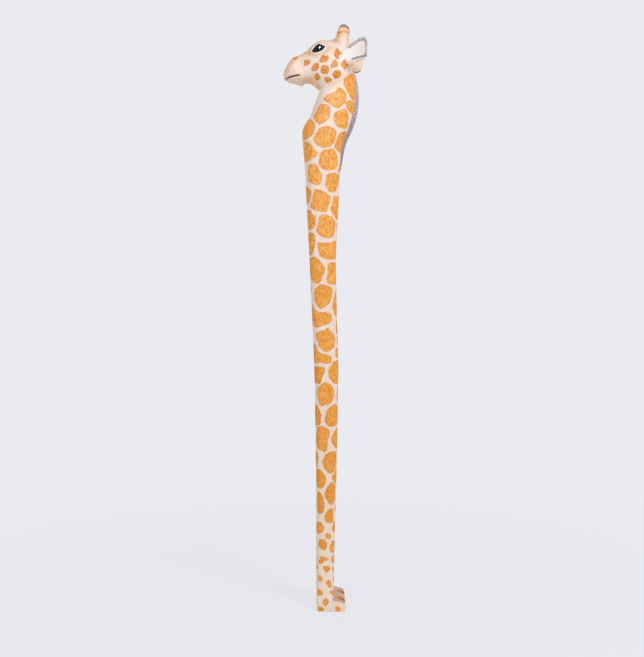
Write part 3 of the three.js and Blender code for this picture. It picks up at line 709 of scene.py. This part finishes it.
def body_finish():
    finish = Finish("painted_body")
    edge = uneven(finish, "patch", 1.2, 1.1)
    mask = finish.ramp(edge, -0.4, -0.08)
    face = finish.value("face")
    # The wash: peach paint, and painted shade under the jaw and lip, in creases, in the groove round the eye
    # and below the ear.
    wash_and_shade = finish.times(finish.value("wash_and_shade"), finish.cloud(0.15, 0.7, 1.4, 2, 4, 0.6, seed=4))
    specks = finish.times(finish.ramp(finish.axis(2), 70, 10), finish.cloud(0.66, 0.74, 0.5, 0.7, 2, seed=17))
    halo = finish.times(finish.ramp(edge, -1.3, -0.35), finish.cloud(0.4, 0.6, 1.2, 1.2, seed=19))
    cream = finish.mix(wash_and_shade, painted_base(finish), PEACH)
    cream = finish.mix(specks, cream, ORANGE_BROWN, 0.4)
    cream = finish.mix(finish.value("lid"), cream, LID_CREAM)
    cream = finish.mix(halo, cream, CREAM_THIN, 0.45)
    rim = finish.times(finish.ramp(edge, 0.75, 0.05), finish.cloud(0.38, 0.58, 2.4, 2.4, 2, seed=14))
    spots = finish.times(face, finish.cloud(0.47, 0.62, 1.2, 1.2, seed=15))
    orange = finish.mix(rim, brushed_orange(finish, finish.value("tone")), ORANGE_DEEP, 0.7)
    orange = finish.mix(face, orange, ORANGE_DEEP, 0.5)
    orange = finish.mix(spots, orange, ORANGE_BROWN, 0.75)
    colour = finish.mix(mask, cream, orange)
    colour = finish.mix(finish.ramp(finish.value("mouth"), 0.72, 0.38), colour, BROWN)
    return finish.wire(colour=colour, rough=satin(finish), normal=brush_relief(finish, mask))


def toe_finish():
    finish = Finish("painted_toes")
    mask = finish.ramp(uneven(finish, "patch", 1.3, 1.0), -0.3, 0)
    # Painted shade: the upturned inner face of the toes is a darker tan, darkest in the knife-cut grooves.
    tan = finish.mix(finish.ramp(finish.value("cuts"), -0.4, 0.6), TAN_DARK, SHADED_TAN)
    tan = finish.mix(finish.cloud(0.3, 0.7, 2, 2, seed=4), tan, SHADED_TAN, 0.5)
    colour = finish.mix(finish.value("inner"), painted_base(finish), tan)
    colour = finish.mix(finish.ramp(uneven(finish, "slit", 1.2, 0.5), 0.34, 0.52), colour, SLIT_BROWN)
    colour = finish.mix(mask, colour, brushed_orange(finish, 0.3))
    return finish.wire(colour=colour, rough=satin(finish), normal=brush_relief(finish, mask))


def horn_finish():
    finish = Finish("painted_horns")
    height = finish.plus(finish.axis(2), wobble(finish, 1.4, 1.5))
    tilted = finish.plus(height, finish.times(finish.axis(0), CAP_SLOPE))
    forward = finish.value("front")
    streak = finish.noise(0.8, 1.8, 4, 0.6, 0.6, seed=3)
    behind = finish.ramp(forward, -0.6, -0.95, 0, 0.4)
    edges = finish.math("MAXIMUM", finish.ramp(forward, -0.1, 0.75), behind)
    lower = finish.mix(finish.times(edges, finish.ramp(streak, 0.3, 0.6)), painted_base(finish), PEACH)
    warm = finish.times(finish.ramp(height, HORN_BAND - 7.5, HORN_BAND - 2), finish.ramp(streak, 0.3, 0.62))
    warm = finish.times(warm, finish.ramp(forward, -0.4, 0.4, 0.25, 1))
    lower = finish.mix(warm, lower, ORANGE)
    band = finish.mix(finish.ramp(streak, 0.36, 0.6), ORANGE, BAND_PALE)
    colour = finish.mix(finish.ramp(height, HORN_BAND, HORN_BAND + 0.8), lower, band)
    line = finish.times(finish.ramp(height, HORN_BAND - 0.4, HORN_BAND + 0.2),
                        finish.ramp(height, HORN_BAND + 1.6, HORN_BAND + 0.7))
    colour = finish.mix(line, colour, ORANGE_BROWN, 0.75)
    cap = finish.mix(finish.ramp(streak, 0.4, 0.62), GREY_DARK, TAN_DARK)
    colour = finish.mix(finish.ramp(tilted, HORN_CAP, HORN_CAP + 1.1), colour, cap)
    colour = finish.mix(finish.ramp(height, HORN_CAP - 1, HORN_CAP + 0.1), colour, GREY_DARK, 0.6)
    return finish.wire(colour=colour, rough=satin(finish), normal=brush_relief(finish))


def ear_finish():
    finish = Finish("painted_ears")
    rim = finish.ramp(uneven(finish, "rim", 1, 0.5), 0.38, 0.6)
    grey = finish.mix(finish.cloud(0.38, 0.62, 0.6, 1.6, 4, 0.6, 0.5, seed=7), GREY, GREY_LIGHT)
    # The lip's dark grey along the inner edge of the upper rim is painted shadow cast by the rim into the
    # hollow; lower round the ear it darkens the rim's grey.
    grey = finish.mix(finish.value("lip"), grey, LIP_GREY)
    hollow = finish.mix(finish.cloud(0.3, 0.7, 2.5, 2.5, seed=2), HOLLOW, HOLLOW_SHADE)
    cream = finish.mix(finish.value("back"), hollow, painted_base(finish))
    tan = finish.times(finish.value("root"), finish.cloud(0.2, 0.65, 1.4, 1.4, 4, seed=6))
    colour = finish.mix(rim, finish.mix(tan, cream, PEACH), grey)
    return finish.wire(colour=colour, rough=satin(finish), normal=brush_relief(finish))


def mane_finish():
    finish = Finish("painted_mane")
    streak = finish.noise(0.9, 4.5, 4, 0.6, 0.4, seed=1)
    dark = finish.mix(finish.ramp(finish.axis(2), 392, 352), GREY, GREY_DARK)
    colour = finish.mix(finish.ramp(streak, 0.42, 0.62), dark, GREY)
    colour = finish.mix(finish.cloud(0.52, 0.66, 1.4, 3, 3, 0.6, seed=4), colour, GREY_LIGHT, 0.7)
    colour = finish.mix(finish.ramp(finish.value("hairs"), -0.1, -0.9), colour, LIP_GREY, 0.55)
    return finish.wire(colour=colour, rough=satin(finish, 0.5, 0.7), normal=finish.bump(streak, 0.12))


def eye_finish():
    finish = Finish("eye_black", roughness=0.05, specular=0.3)
    # Violet streaks in the black bead are painted reflection.
    colour = finish.mix(finish.cloud(0.5, 0.7, 1.1, 1.1, seed=4), EYE_BLACK, REFLECTION_VIOLET)
    return finish.wire(colour=colour, normal=finish.bump(finish.noise(1.5, 1.5, 2), 0.01))


def wood_finish():
    finish = Finish("dowel_wood", roughness=0.65)
    rings = finish.noise(0.6, 0.6, 4, 0.6, seed=2)
    return finish.wire(colour=finish.mix(finish.ramp(rings, 0.35, 0.7), WOOD, WOOD_DARK),
                       normal=finish.bump(rings, 0.08))


def dress(obj, material, slot, *nodes):
    """Gives a new piece its material and its place in the frame, and hides the CAD nodes it stands for."""
    obj.data.materials.clear()
    obj.data.materials.append(material)
    obj.data.shade_smooth()
    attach(obj, "root")
    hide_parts(*nodes)


# ---- The carved body ----

def body_solid():
    """Vertices and faces of the shaft and the head, which overlap."""
    shaft, head = [], []
    for z, front, back, depth, square in smooth_rows(SHAFT_SECTIONS, 1.5):
        u, v = superellipse(square)
        x = (front + back) / 2 + u * (back - front) / 2
        shaft.append(np.stack([x, v * depth, np.full(RING_POINTS, z)], 1))
    for x, low, high, width, square, taper in smooth_rows(HEAD_SECTIONS, 1):
        u, v = superellipse(square)
        z = (low + high) / 2 + v * (high - low) / 2
        head.append(np.stack([np.full(RING_POINTS, x), u * width * (1 - taper * v), z], 1))
    verts, faces = loft(shaft)
    head_verts, head_faces = loft(head)
    faces += [tuple(i + len(verts) for i in face) for face in head_faces]
    return np.vstack([verts, head_verts]), faces


def outside_head(points):
    """Roughly how far points are outside the head, in millimetres."""
    x, y, z = points.T
    low, high, width, square, taper = columns_at(HEAD_ROWS, x)
    v = (z - (low + high) / 2) / ((high - low) / 2)
    u = y / (width * (1 - taper * np.clip(v, -1, 1)))
    return (reach(u, v, square) - 1) * width + np.maximum(x - HEAD_ROWS[-1, 0], 0)


def outside_neck(points):
    """Roughly how far points are outside the neck and shaft, in millimetres."""
    x, y, z = points.T
    middle, half, depth, square = shaft_section(z)
    return (reach((x - middle) / half, y / depth, square) - 1) * depth + np.maximum(z - SHAFT_ROWS[-1, 0], 0)


def eye_side(points):
    """Distance to the eye's outline seen from the side, positive outside it."""
    flat = points[:, [0, 2]] - (EYE["x"], EYE["z"])
    near = np.linalg.norm(flat, axis=1) < 12
    away = np.full(len(points), FAR)
    away[near] = outline_distance(flat[near], closed_curve(EYE_OUTLINE, 64))
    return away


def carve_head(obj, neighbours):
    """Lids, lips, cheeks and the rise of the skull round the horns and ears."""
    points = points_of(obj)
    x, _, z = points.T
    lid = eye_side(points)
    shape = 0.5 * bell(lid - 1, 0.75) - 0.45 * bell(lid - 2.9, 1.1) * (z < EYE["z"] + 2)
    shape -= 1.1 * step_between(lid, 0.5, -0.3)
    mouth, along = curve_distance(points, MOUTH)
    fade = step_between(along, 0, 0.14)
    shape -= bell(mouth, 0.42) * fade
    line = np.interp(x, *zip(*LIP_LINE))
    shape += 0.3 * bell(mouth - 1.1, 0.8) * fade * np.where(z > line, 1, 0.5)
    for centre_x, centre_z, width, rise in RELIEF:
        shape += rise * bell(np.hypot(x - centre_x, z - centre_z), width)
    for crease, depth, width in CREASES:
        away, share = curve_distance(points, crease)
        shape -= depth * bell(away, width) * step_between(share, 0, 0.25) * step_between(share, 1, 0.75)
    tree = KDTree(sum(len(other.data.vertices) for other in neighbours))
    for other in neighbours:
        for point in points_of(other):
            tree.insert(point, 0)
    tree.balance()
    near = np.flatnonzero((z > 403) & (x > 3))
    away = np.full(len(points), FAR)
    away[near] = [tree.find(points[i])[2] for i in near]
    shape += 0.75 * bell(away, 1.5)
    push(obj, shape * step_between(z, *JAW))


def whittle(obj):
    """Knife facets and the slight unevenness of hand work."""
    points = points_of(obj)
    cut = 0.38 * facets(points, (7, 7, 15), 3.3) ** 2 - 0.05
    sway = 0.22 * noise_at(points, (16, 16, 30)) + 0.1 * noise_at(points, (5, 5, 9), 5)
    quiet = 1 - 0.75 * bell(eye_side(points), 3.5) - 0.6 * bell(curve_distance(points, MOUTH)[0], 2)
    sole = step_between(points[:, 2], 0.5, 4)
    push(obj, (cut + sway) * np.clip(quiet, 0.1, 1) * sole)


# ---- Where the paint goes ----

def walk_round():
    """For each millimetre of height, the way round from the middle of the left side to each bearing."""
    bearing = np.linspace(-np.pi, np.pi, BEARINGS + 1)
    _, half, depth, square = (column[:, None] for column in shaft_section(np.arange(TOP_ROW + 1.0)))
    radius = 1 / reach(np.sin(bearing) / half, np.cos(bearing) / depth, square)
    steps = np.hypot(np.diff(radius * np.sin(bearing), axis=1), np.diff(radius * np.cos(bearing), axis=1))
    walked = np.hstack([np.zeros((TOP_ROW + 1, 1)), np.cumsum(steps, 1)])
    return walked - walked[:, BEARINGS // 2, None]


ROUND = walk_round()


def row_of(height):
    return np.clip(np.round(height), 0, TOP_ROW).astype(int)


def round_shaft(points):
    """How far round the shaft points are from the middle of its left side: positive towards the back."""
    x, y, z = points.T
    place = (np.arctan2(x - shaft_section(z)[0], -y) + np.pi) / (2 * np.pi) * BEARINGS
    row = row_of(z)
    low = np.clip(place.astype(int), 0, BEARINGS - 1)
    return ROUND[row, low] + (place - low) * (ROUND[row, low + 1] - ROUND[row, low])


def patch_on_shaft(corners):
    """A patch's outline in distance round the shaft and height."""
    across, height = np.array(corners, float).T
    middle, half, depth, square = shaft_section(height)
    share = np.clip(across / half, -1, 1)
    y = -depth * (1 - np.abs(share) ** square) ** (1 / square)
    way = round_shaft(np.stack([middle + share * half, y, height], 1))
    return np.stack([way + np.sign(across) * np.maximum(np.abs(across) - half, 0), height], 1)


def depth_in(flat, outlines):
    """How far inside the nearest outline each flat point is, in millimetres, and which outline that is."""
    depth = np.full(len(flat), OUTSIDE)
    which = np.zeros(len(flat), int)
    for i, corners in enumerate(outlines):
        outline = closed_curve(corners, 4 * len(corners))
        low, high = outline.min(0) - 8, outline.max(0) + 8
        near = np.flatnonzero(((flat > low) & (flat < high)).all(1))
        inside = -outline_distance(flat[near], outline)
        better = inside > depth[near]
        depth[near[better]] = inside[better]
        which[near[better]] = i
    return depth, which


def foot_spare(height, edge):
    """How far the far half's patches carry on over the wide faces of the foot, towards its left side."""
    return np.maximum(edge - 9, 0) * step_between(height, 60, 30)


def cell_seeds():
    """The far half's patches: distance on from its front edge, height, spacing across and down, size."""
    seeds, height, row = [], 399.0, 0
    while height > 2:
        across, down, size = columns_at(CELLS, height)
        edge = ROUND[int(height), BEARINGS * 3 // 4]
        spare = foot_spare(height, edge)
        length = 2 * (ROUND[int(height), -1] - edge + spare)
        count = max(2, round(length / across))
        for i in range(count + row % 2):
            way = (i + 0.5 - 0.5 * (row % 2)) / count * length - spare
            jitter = rng.uniform(-0.17, 0.17, 2)
            seeds.append((way + jitter[0] * across, height + jitter[1] * down, across, down, size))
        height -= down / 1.12
        row += 1
    return np.array(seeds)


def cells(points, way, painted):
    """Depth in the far half's patches, which keep clear of those from the left, and which patch it is."""
    x, _, z = points.T
    row = row_of(z)
    full, edge = ROUND[row, -1], ROUND[row, BEARINGS * 3 // 4]
    along = np.where(way > 0, 2 * full - way, -way) - edge
    seeds = cell_seeds()
    first = np.full(len(points), FAR)
    second = np.full(len(points), FAR)
    which = np.zeros(len(points), int)
    for i, (place, height, across, down, _) in enumerate(seeds):
        near = np.flatnonzero(np.abs(z - height) < 2 * down)
        away = np.hypot(along[near] - place, (z[near] - height) * across / down * 1.1)
        closer = away < first[near]
        second[near] = np.where(closer, first[near], np.minimum(second[near], away))
        first[near] = np.where(closer, away, first[near])
        which[near[closer]] = i
    limits = [
        (second - first) / 2 - CELL_GAP / 2,
        seeds[which, 4] * seeds[which, 2] - first,
        -painted - CELL_GAP,
        0.9 * (402 - 0.45 * (20 - x) - z),  # the line under the skull and jaw
        along + foot_spare(z, edge) - 0.4,
    ]
    return np.min(limits, 0), which


def without_slivers(depth, which):
    """Leaves out the patches that are nowhere deep enough to paint."""
    deepest = np.full(which.max() + 1, OUTSIDE)
    np.maximum.at(deepest, which, depth)
    return np.where(deepest[which] > LEAST_DEPTH, depth, OUTSIDE)


def paint_patches(obj, points):
    """Depth in the painted patches, the tone of each, and which of them are the face's."""
    x, y, z = points.T
    neck, head, way = outside_neck(points), outside_head(points), round_shaft(points)
    off_neck = np.where((neck < 1.2) & (neck < head + 4), 0, OFF_LIMITS)
    off_head = np.where(head < 1.8, 0, OFF_LIMITS)
    off_crown = np.where((x > 13) & (head < 1.8), 0, OFF_LIMITS)
    wander = 0.5 * wander_at(points, 2.6, 1.5)
    far_wander = 2.2 * wander_at(points, 7, 41.5) * step_between(y, 0, 5)[:, None]
    left, which_left = depth_in(np.stack([way, z], 1) + wander, [patch_on_shaft(patch) for patch in PATCHES])
    other, which_other = cells(points + np.pad(far_wander, ((0, 0), (1, 0))), way, left)
    face, which_face = depth_in(points[:, [0, 2]] + wander + far_wander * 0.6, FACE_PATCHES)
    crown, which_crown = depth_in(points[:, [1, 2]] + wander, CROWN_PATCHES)
    other = without_slivers(np.minimum(other, off_head - face - 1.6) - off_neck, which_other)
    layers = np.stack([left - off_neck, other, face - off_head, crown - off_crown])
    top = layers.argmax(0)
    numbers = np.stack([which_left, which_other, which_face, which_crown]) + np.array(FIRST_TONE)[:, None]
    attribute(obj, "patch", layers.max(0))
    attribute(obj, "tone", rng.uniform(0, 1, TONES)[np.choose(top, numbers)])
    attribute(obj, "face", top == 2)


def paint_body(obj):
    points = points_of(obj)
    x, _, z = points.T
    paint_patches(obj, points)
    mouth, along = curve_distance(points, MOUTH)
    attribute(obj, "mouth", mouth + 0.5 * step_between(along, 0.18, 0) + 9 * (z < JAW[0] + 1))
    # Peach paint and painted shade together: the shade lies under the jaw and lip, in creases, below the ear
    # and in the groove round the eye.
    wash_and_shade = sum(strength * bell(np.hypot(x - px, z - pz), width) for px, pz, width, strength in WASHES_AND_SHADE)
    for line, width, strength in WASH_AND_SHADE_LINES:
        wash_and_shade += strength * bell(curve_distance(points, line)[0], width)
    lid = eye_side(points)
    attribute(obj, "wash_and_shade", np.clip(wash_and_shade + 0.7 * bell(lid - 2.4, 0.6), 0, 1) * step_between(lid, 1.3, 1.9))
    ear_root = 0.3 * bell(np.hypot(x - 14, z - 417), 4.5)
    attribute(obj, "lid", np.maximum(bell(lid - 0.5, 0.75), ear_root))


def refine(obj, above):
    """Halves the size of the faces above a height."""
    fine = bmesh.new()
    fine.from_mesh(obj.data)
    edges = [edge for edge in fine.edges if min(v.co.z for v in edge.verts) > above * MM]
    bmesh.ops.subdivide_edges(fine, edges=edges, cuts=1, use_grid_fill=True)
    fine.to_mesh(obj.data)
    fine.free()


def make_body(neighbours):
    obj = mesh_object("giraffe_body", *body_solid())
    remesh(obj, VOXEL)
    relax(obj, 3)
    points = points_of(obj)
    crease = bell(np.maximum(outside_head(points), outside_neck(points)), 2.2)
    relax(obj, 70, crease * step_between(points[:, 2], 372, 384))
    refine(obj, 389)
    relax(obj, 2, step_between(points_of(obj)[:, 2], 386, 390))
    whittle(obj)
    carve_head(obj, neighbours)
    settle(obj)
    paint_body(obj)
    dress(obj, body_finish(), "painted_body", "carved_body")


# ---- Toes, horns, ears, eyes, mane ----

def block(low, high, turn):
    """A box's vertices and faces, turned about an upright line through its middle."""
    corners = np.array([(x, y, z) for x in (0, 1) for y in (0, 1) for z in (0, 1)], float)
    verts = np.array(low) + corners * (np.array(high) - np.array(low))
    middle = verts.mean(0)
    verts = (verts - middle) @ np.array(Euler((0, 0, turn)).to_matrix()).T + middle
    faces = [(0, 1, 3, 2), (4, 6, 7, 5), (0, 4, 5, 1), (2, 3, 7, 6), (0, 2, 6, 4), (1, 5, 7, 3)]
    return verts, faces


def cut_away(obj, *box):
    cutter = mesh_object("cutter", *block(*box))
    with_modifier(obj, "BOOLEAN", operation="DIFFERENCE", object=cutter, solver="EXACT")
    bpy.data.objects.remove(cutter)


def make_toes():
    low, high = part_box("toe_block")
    x0, y0, _ = (value / MM for value in low)
    x1, y1, _ = (value / MM for value in high)
    profile = [(x0 - 2, 0), (x1 - 0.9, 0), (x1, 0.9), (x1, 5.2), (x1 - 0.4, 6.1), (x1 - 1.5, 6.6),
               (x0 + 1, 8.2), (x0, 8.6), (x0 - 2, 8.6)]
    rings = [np.array([(x, y, z) for x, z in profile]) for y in np.linspace(y0, y1, 30)]
    obj = mesh_object("toe_block_fine", *loft(rings))
    for y, slant in SLITS:
        cut_away(obj, (x1 - 4, y - 1.5, -4), (x1 + 6, y + 1.5, 14), -slant)
    cut_away(obj, (x1 - 2.2, y1 - 1.5, -4), (x1 + 5, y1 + 6, 14), 0.5)
    remesh(obj, 0.3)
    relax(obj, 6)
    points = points_of(obj)
    x, y, z = points.T
    toward_x, _, upward = vectors_of(obj, "normal").T
    # The upturned inner face of the toes, which is painted a darker tan as painted shade.
    inner = step_between(upward, 0.35, 0.8) * (z > 4)
    cuts = np.sin((y * 0.9 + x * 1.3 + 0.8 * noise_at(points, 4)) * 2 * np.pi / 1.7)
    slit = sum(bell(y - middle + (x - x1) * slant, 3.0) for middle, slant in SLITS)
    slit = np.clip(slit, 0, 1) * step_between(x, x1 - 6.4, x1 - 4.6)
    slit *= step_between(np.abs(toward_x), 1.0, 0.7)
    push(obj, inner * 0.14 * cuts + 0.14 * noise_at(points, 5, 2) * step_between(z, 0.4, 2))
    settle(obj)
    points = points_of(obj)
    spot, _ = depth_in(points[:, [0, 2]], [TOE_PATCH])
    attribute(obj, "patch", np.minimum(spot, np.abs(points[:, 1]) - y1 + 1.5))
    attribute(obj, "inner", inner)
    attribute(obj, "cuts", cuts)
    attribute(obj, "slit", slit)
    dress(obj, toe_finish(), "painted_toes", "toe_block")


def make_horn(name, side, material):
    angle = np.arange(HORN_POINTS) / HORN_POINTS * 2 * np.pi
    rows = smooth_rows(HORN_SECTIONS, 0.2)
    rings = []
    for z, middle, long, wide in rows:
        y = side * HORN_Y + wide * np.sin(angle)
        rings.append(np.stack([middle + long * np.cos(angle), y, np.full(HORN_POINTS, z)], 1))
    obj = mesh_object(f"{name}_fine", *loft(rings))
    points = points_of(obj)
    x, y, z = points.T
    across = x - np.interp(z, rows[:, 0], rows[:, 1])
    front = -across / np.maximum(np.hypot(across, y - side * HORN_Y), 0.1)
    below = step_between(z, 440, 438.5)
    rough = 0.16 * noise_at(points, (4, 4, 5), side * 7) + 0.14 * facets(points, (4, 4, 6), side * 3) ** 2
    push(obj, rough * (0.3 + 0.7 * below))
    attribute(obj, "front", front)
    dress(obj, material, "painted_horns", name.replace("horn", "ossicone"))
    return obj


def make_ear(name, side, material):
    outline = closed_curve(LEFT_EAR if side < 0 else RIGHT_EAR, 120) - (EAR["x"], EAR["z"])
    bearing = np.degrees(np.arctan2(outline[:, 1], outline[:, 0]))
    inner, outer, strength = columns_at(RIM, bearing)

    def surface(share, front):
        x, z = (outline * share + (EAR["x"], EAR["z"])).T
        away = EAR["tip_y"] - EAR["splay"] * (EAR["tip_x"] - x) - EAR["cup"] * (1 - share**2)
        thin = 0.6 * step_between(share, 0.9, 1.0)
        if front:
            away += 0.75 * step_between(share, inner - 0.05, inner + 0.05) * strength - thin
        else:
            away += thin - EAR["wall"]
        return np.stack([x, side * away, z], 1)

    shares = np.concatenate([[0.02, 0.15, 0.3, 0.42], np.linspace(0.5, 1, 24)])
    rings = [surface(s, True) for s in shares] + [surface(s, False) for s in shares[::-1]]
    obj = mesh_object(f"{name}_fine", *loft(rings))
    relax(obj, 2)
    # Each vertex's share of the way out, side of the ear and place round it, with the two middles at the end.
    share_of = np.concatenate([np.repeat([*shares, *shares[::-1]], len(outline)), [0, 0]])
    front_of = np.concatenate([np.repeat([1, 0], len(shares) * len(outline)), [1, 0]])
    inner, outer, strength, bearing = (
        np.concatenate([np.tile(values, len(rings)), [0, 0]]) for values in (inner, outer, strength, bearing))
    points = points_of(obj)
    push(obj, 0.16 * noise_at(points, 4, side * 5) + 0.12 * noise_at(points, 1.6, side * 9))
    band = step_between(share_of, inner - 0.02, inner + 0.03) * step_between(share_of, outer, outer - 0.06)
    under = step_between(bearing, -25, -45) * step_between(bearing, -150, -130)
    edge = np.clip(under + 0.35, 0, 1) if side > 0 else 0.6 * step_between(bearing, -45, -10)
    back_band = step_between(share_of, 0.88, 0.94) * edge
    attribute(obj, "rim", np.where(front_of > 0.5, band * strength, back_band))
    # A dark line along the inner edge of the upper rim: painted shadow of the rim on the hollow.
    lip = 0.85 * bell(share_of - inner, 0.06) * step_between(bearing, 5, 30)
    lower = 0.45 * step_between(bearing, -25, -50)
    attribute(obj, "lip", np.maximum(lip, lower) * front_of + 0.8 * under * (1 - front_of))
    attribute(obj, "back", 1 - front_of)
    lobe = 0.55 * step_between(share_of, outer, outer + 0.06) * (bearing < 0)
    low_back = 0.9 * bell(np.hypot(points[:, 0] - 23.5, points[:, 2] - 412.5), 3.5)
    attribute(obj, "root", np.where(front_of > 0.5, lobe, low_back))
    dress(obj, material, "painted_ears", name)
    return obj


def make_eye(name, side, material):
    """An almond bead that bulges out between the lids."""
    outline = closed_curve(EYE_OUTLINE, 96)
    _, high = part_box("eye_right")
    face = high[1] / MM - 1.35
    rings = []
    for share in np.linspace(1, 0.04, 14):
        along, up = (outline * share).T
        out = face + 1.25 * math.sqrt(1 - share**2) - EYE["lean"] * up + EYE["turn"] * along
        rings.append(np.stack([EYE["x"] + along, side * out, EYE["z"] + up], 1))
    behind = rings[0] - (0, side * 1.6, 0)
    obj = mesh_object(f"{name}_fine", *loft([behind, *rings]))
    dress(obj, material, "eye_black", name)


def make_mane():
    angle = np.linspace(-np.pi / 2, np.pi / 2, 25)
    rings = []
    for z, proud, half in smooth_rows(MANE_SECTIONS, 0.5):
        middle, width, _, _ = shaft_section(z)
        back = middle + width
        out = back - 0.6 + (proud + 0.6) * np.cos(angle) ** 0.7
        arc = np.stack([out, half * np.sin(angle), np.full(len(angle), z)], 1)
        rings.append(np.vstack([arc, arc[::-4] * (0, 1, 1) + (back - 2, 0, 0)]))
    obj = mesh_object("mane_strip_fine", *loft(rings))
    points = points_of(obj)
    x, y, z = points.T
    slant = z * 0.9 + np.abs(y) * 1.6 + 1.5 * noise_at(points, (3, 3, 5))
    hairs = np.sin(slant * 2 * np.pi / 2.1)
    middle, width, _, _ = shaft_section(z)
    outer = step_between(x - middle - width, 0, 1)
    push(obj, (0.2 * hairs + 0.2 * noise_at(points, (2.5, 2.5, 6), 4)) * outer)
    attribute(obj, "hairs", hairs)
    dress(obj, mane_finish(), "painted_mane", "mane_strip")


# ---- Stage, light and camera ----

def make_floor():
    """A pale floor that turns into the backdrop's own colour further out."""
    bpy.ops.mesh.primitive_circle_add(vertices=96, radius=6, fill_type="NGON", location=(0, 0, -0.0002))
    floor = bpy.context.object
    floor.name = "floor"
    finish = Finish("floor", roughness=0.9, specular=0)
    finish.shader.inputs["Base Color"].default_value = FLOOR_PALE
    away = finish.node("ShaderNodeVectorMath", {0: finish.place}, operation="LENGTH").outputs["Value"]
    glow = finish.node("ShaderNodeEmission", {"Color": BACKDROP, "Strength": 1.0})
    share = finish.ramp(away, 0.05, 0.6, 0.8, 1)
    blend = finish.node("ShaderNodeMixShader", {0: share, 1: finish.shader.outputs[0], 2: glow.outputs[0]})
    finish.tree.links.new(blend.outputs[0], finish.tree.nodes["Material Output"].inputs["Surface"])
    floor.data.materials.append(finish.material)


def add_light(name, place, target, size, power):
    """A rectangular light aimed at a target: places and its two sides in metres, power in watts."""
    lamp = bpy.data.lights.new(name, "AREA")
    lamp.shape = "RECTANGLE"
    lamp.size, lamp.size_y = size
    lamp.energy = power
    obj = bpy.data.objects.new(name, lamp)
    obj.location = place
    obj.rotation_euler = (Vector(target) - Vector(place)).to_track_quat("-Z", "Y").to_euler()
    obj.visible_camera = False
    bpy.context.scene.collection.objects.link(obj)
    return obj


def light_scene():
    world = bpy.data.worlds.new("studio")
    world.use_nodes = True
    nodes, links = world.node_tree.nodes, world.node_tree.links
    background = nodes["Background"]
    background.inputs["Color"].default_value = BACKDROP
    seen = nodes.new("ShaderNodeLightPath").outputs["Is Camera Ray"]
    strength = nodes.new("ShaderNodeMapRange")
    strength.inputs["To Min"].default_value = AMBIENT
    links.new(seen, strength.inputs["Value"])
    links.new(strength.outputs[0], background.inputs["Strength"])
    bpy.context.scene.world = world
    add_light("key", (0.8, -0.85, 1.05), (0, 0, 0.3), (0.45, 0.45), 9.6)
    add_light("fill", (-0.75, -0.8, 0.55), (0, 0, 0.35), (0.5, 0.5), 2)
    add_light("back", (-0.4, 1.1, 0.9), (0, 0, 0.25), (0.6, 0.6), 3.6)
    glint = add_light("glint", (0.0, -0.47, 0.62), (-0.006, -0.01, 0.421), (0.035, 0.1), 5)
    glint.visible_diffuse = False
    bpy.context.scene.view_settings.view_transform = "Standard"


def add_camera():
    distance, aim_x, aim_z = 0.6, -0.0025, 0.2102
    view_height = 0.501272  # how much is in view at the object's distance
    camera = bpy.data.cameras.new("camera")
    camera.lens = camera.sensor_width * distance / view_height
    camera.clip_start = 0.01
    obj = bpy.data.objects.new("camera", camera)
    obj.location = (aim_x, -distance, aim_z)
    obj.rotation_euler = (math.pi / 2, 0, 0)
    bpy.context.scene.collection.objects.link(obj)
    bpy.context.scene.camera = obj


add_camera()
light_scene()
make_floor()
horn_paint = horn_finish()
ear_paint = ear_finish()
eye_gloss = eye_finish()
make_toes()
rooted = []
for word, side in (("left", -1), ("right", 1)):
    rooted.append(make_horn(f"horn_{word}", side, horn_paint))
    rooted.append(make_ear(f"ear_{word}", side, ear_paint))
    make_eye(f"eye_{word}", side, eye_gloss)
make_body(rooted)
make_mane()
wood = wood_finish()
for word in ("left", "right"):
    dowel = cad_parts[f"toe_dowel_{word}"]
    dowel.data.materials.clear()
    dowel.data.materials.append(wood)
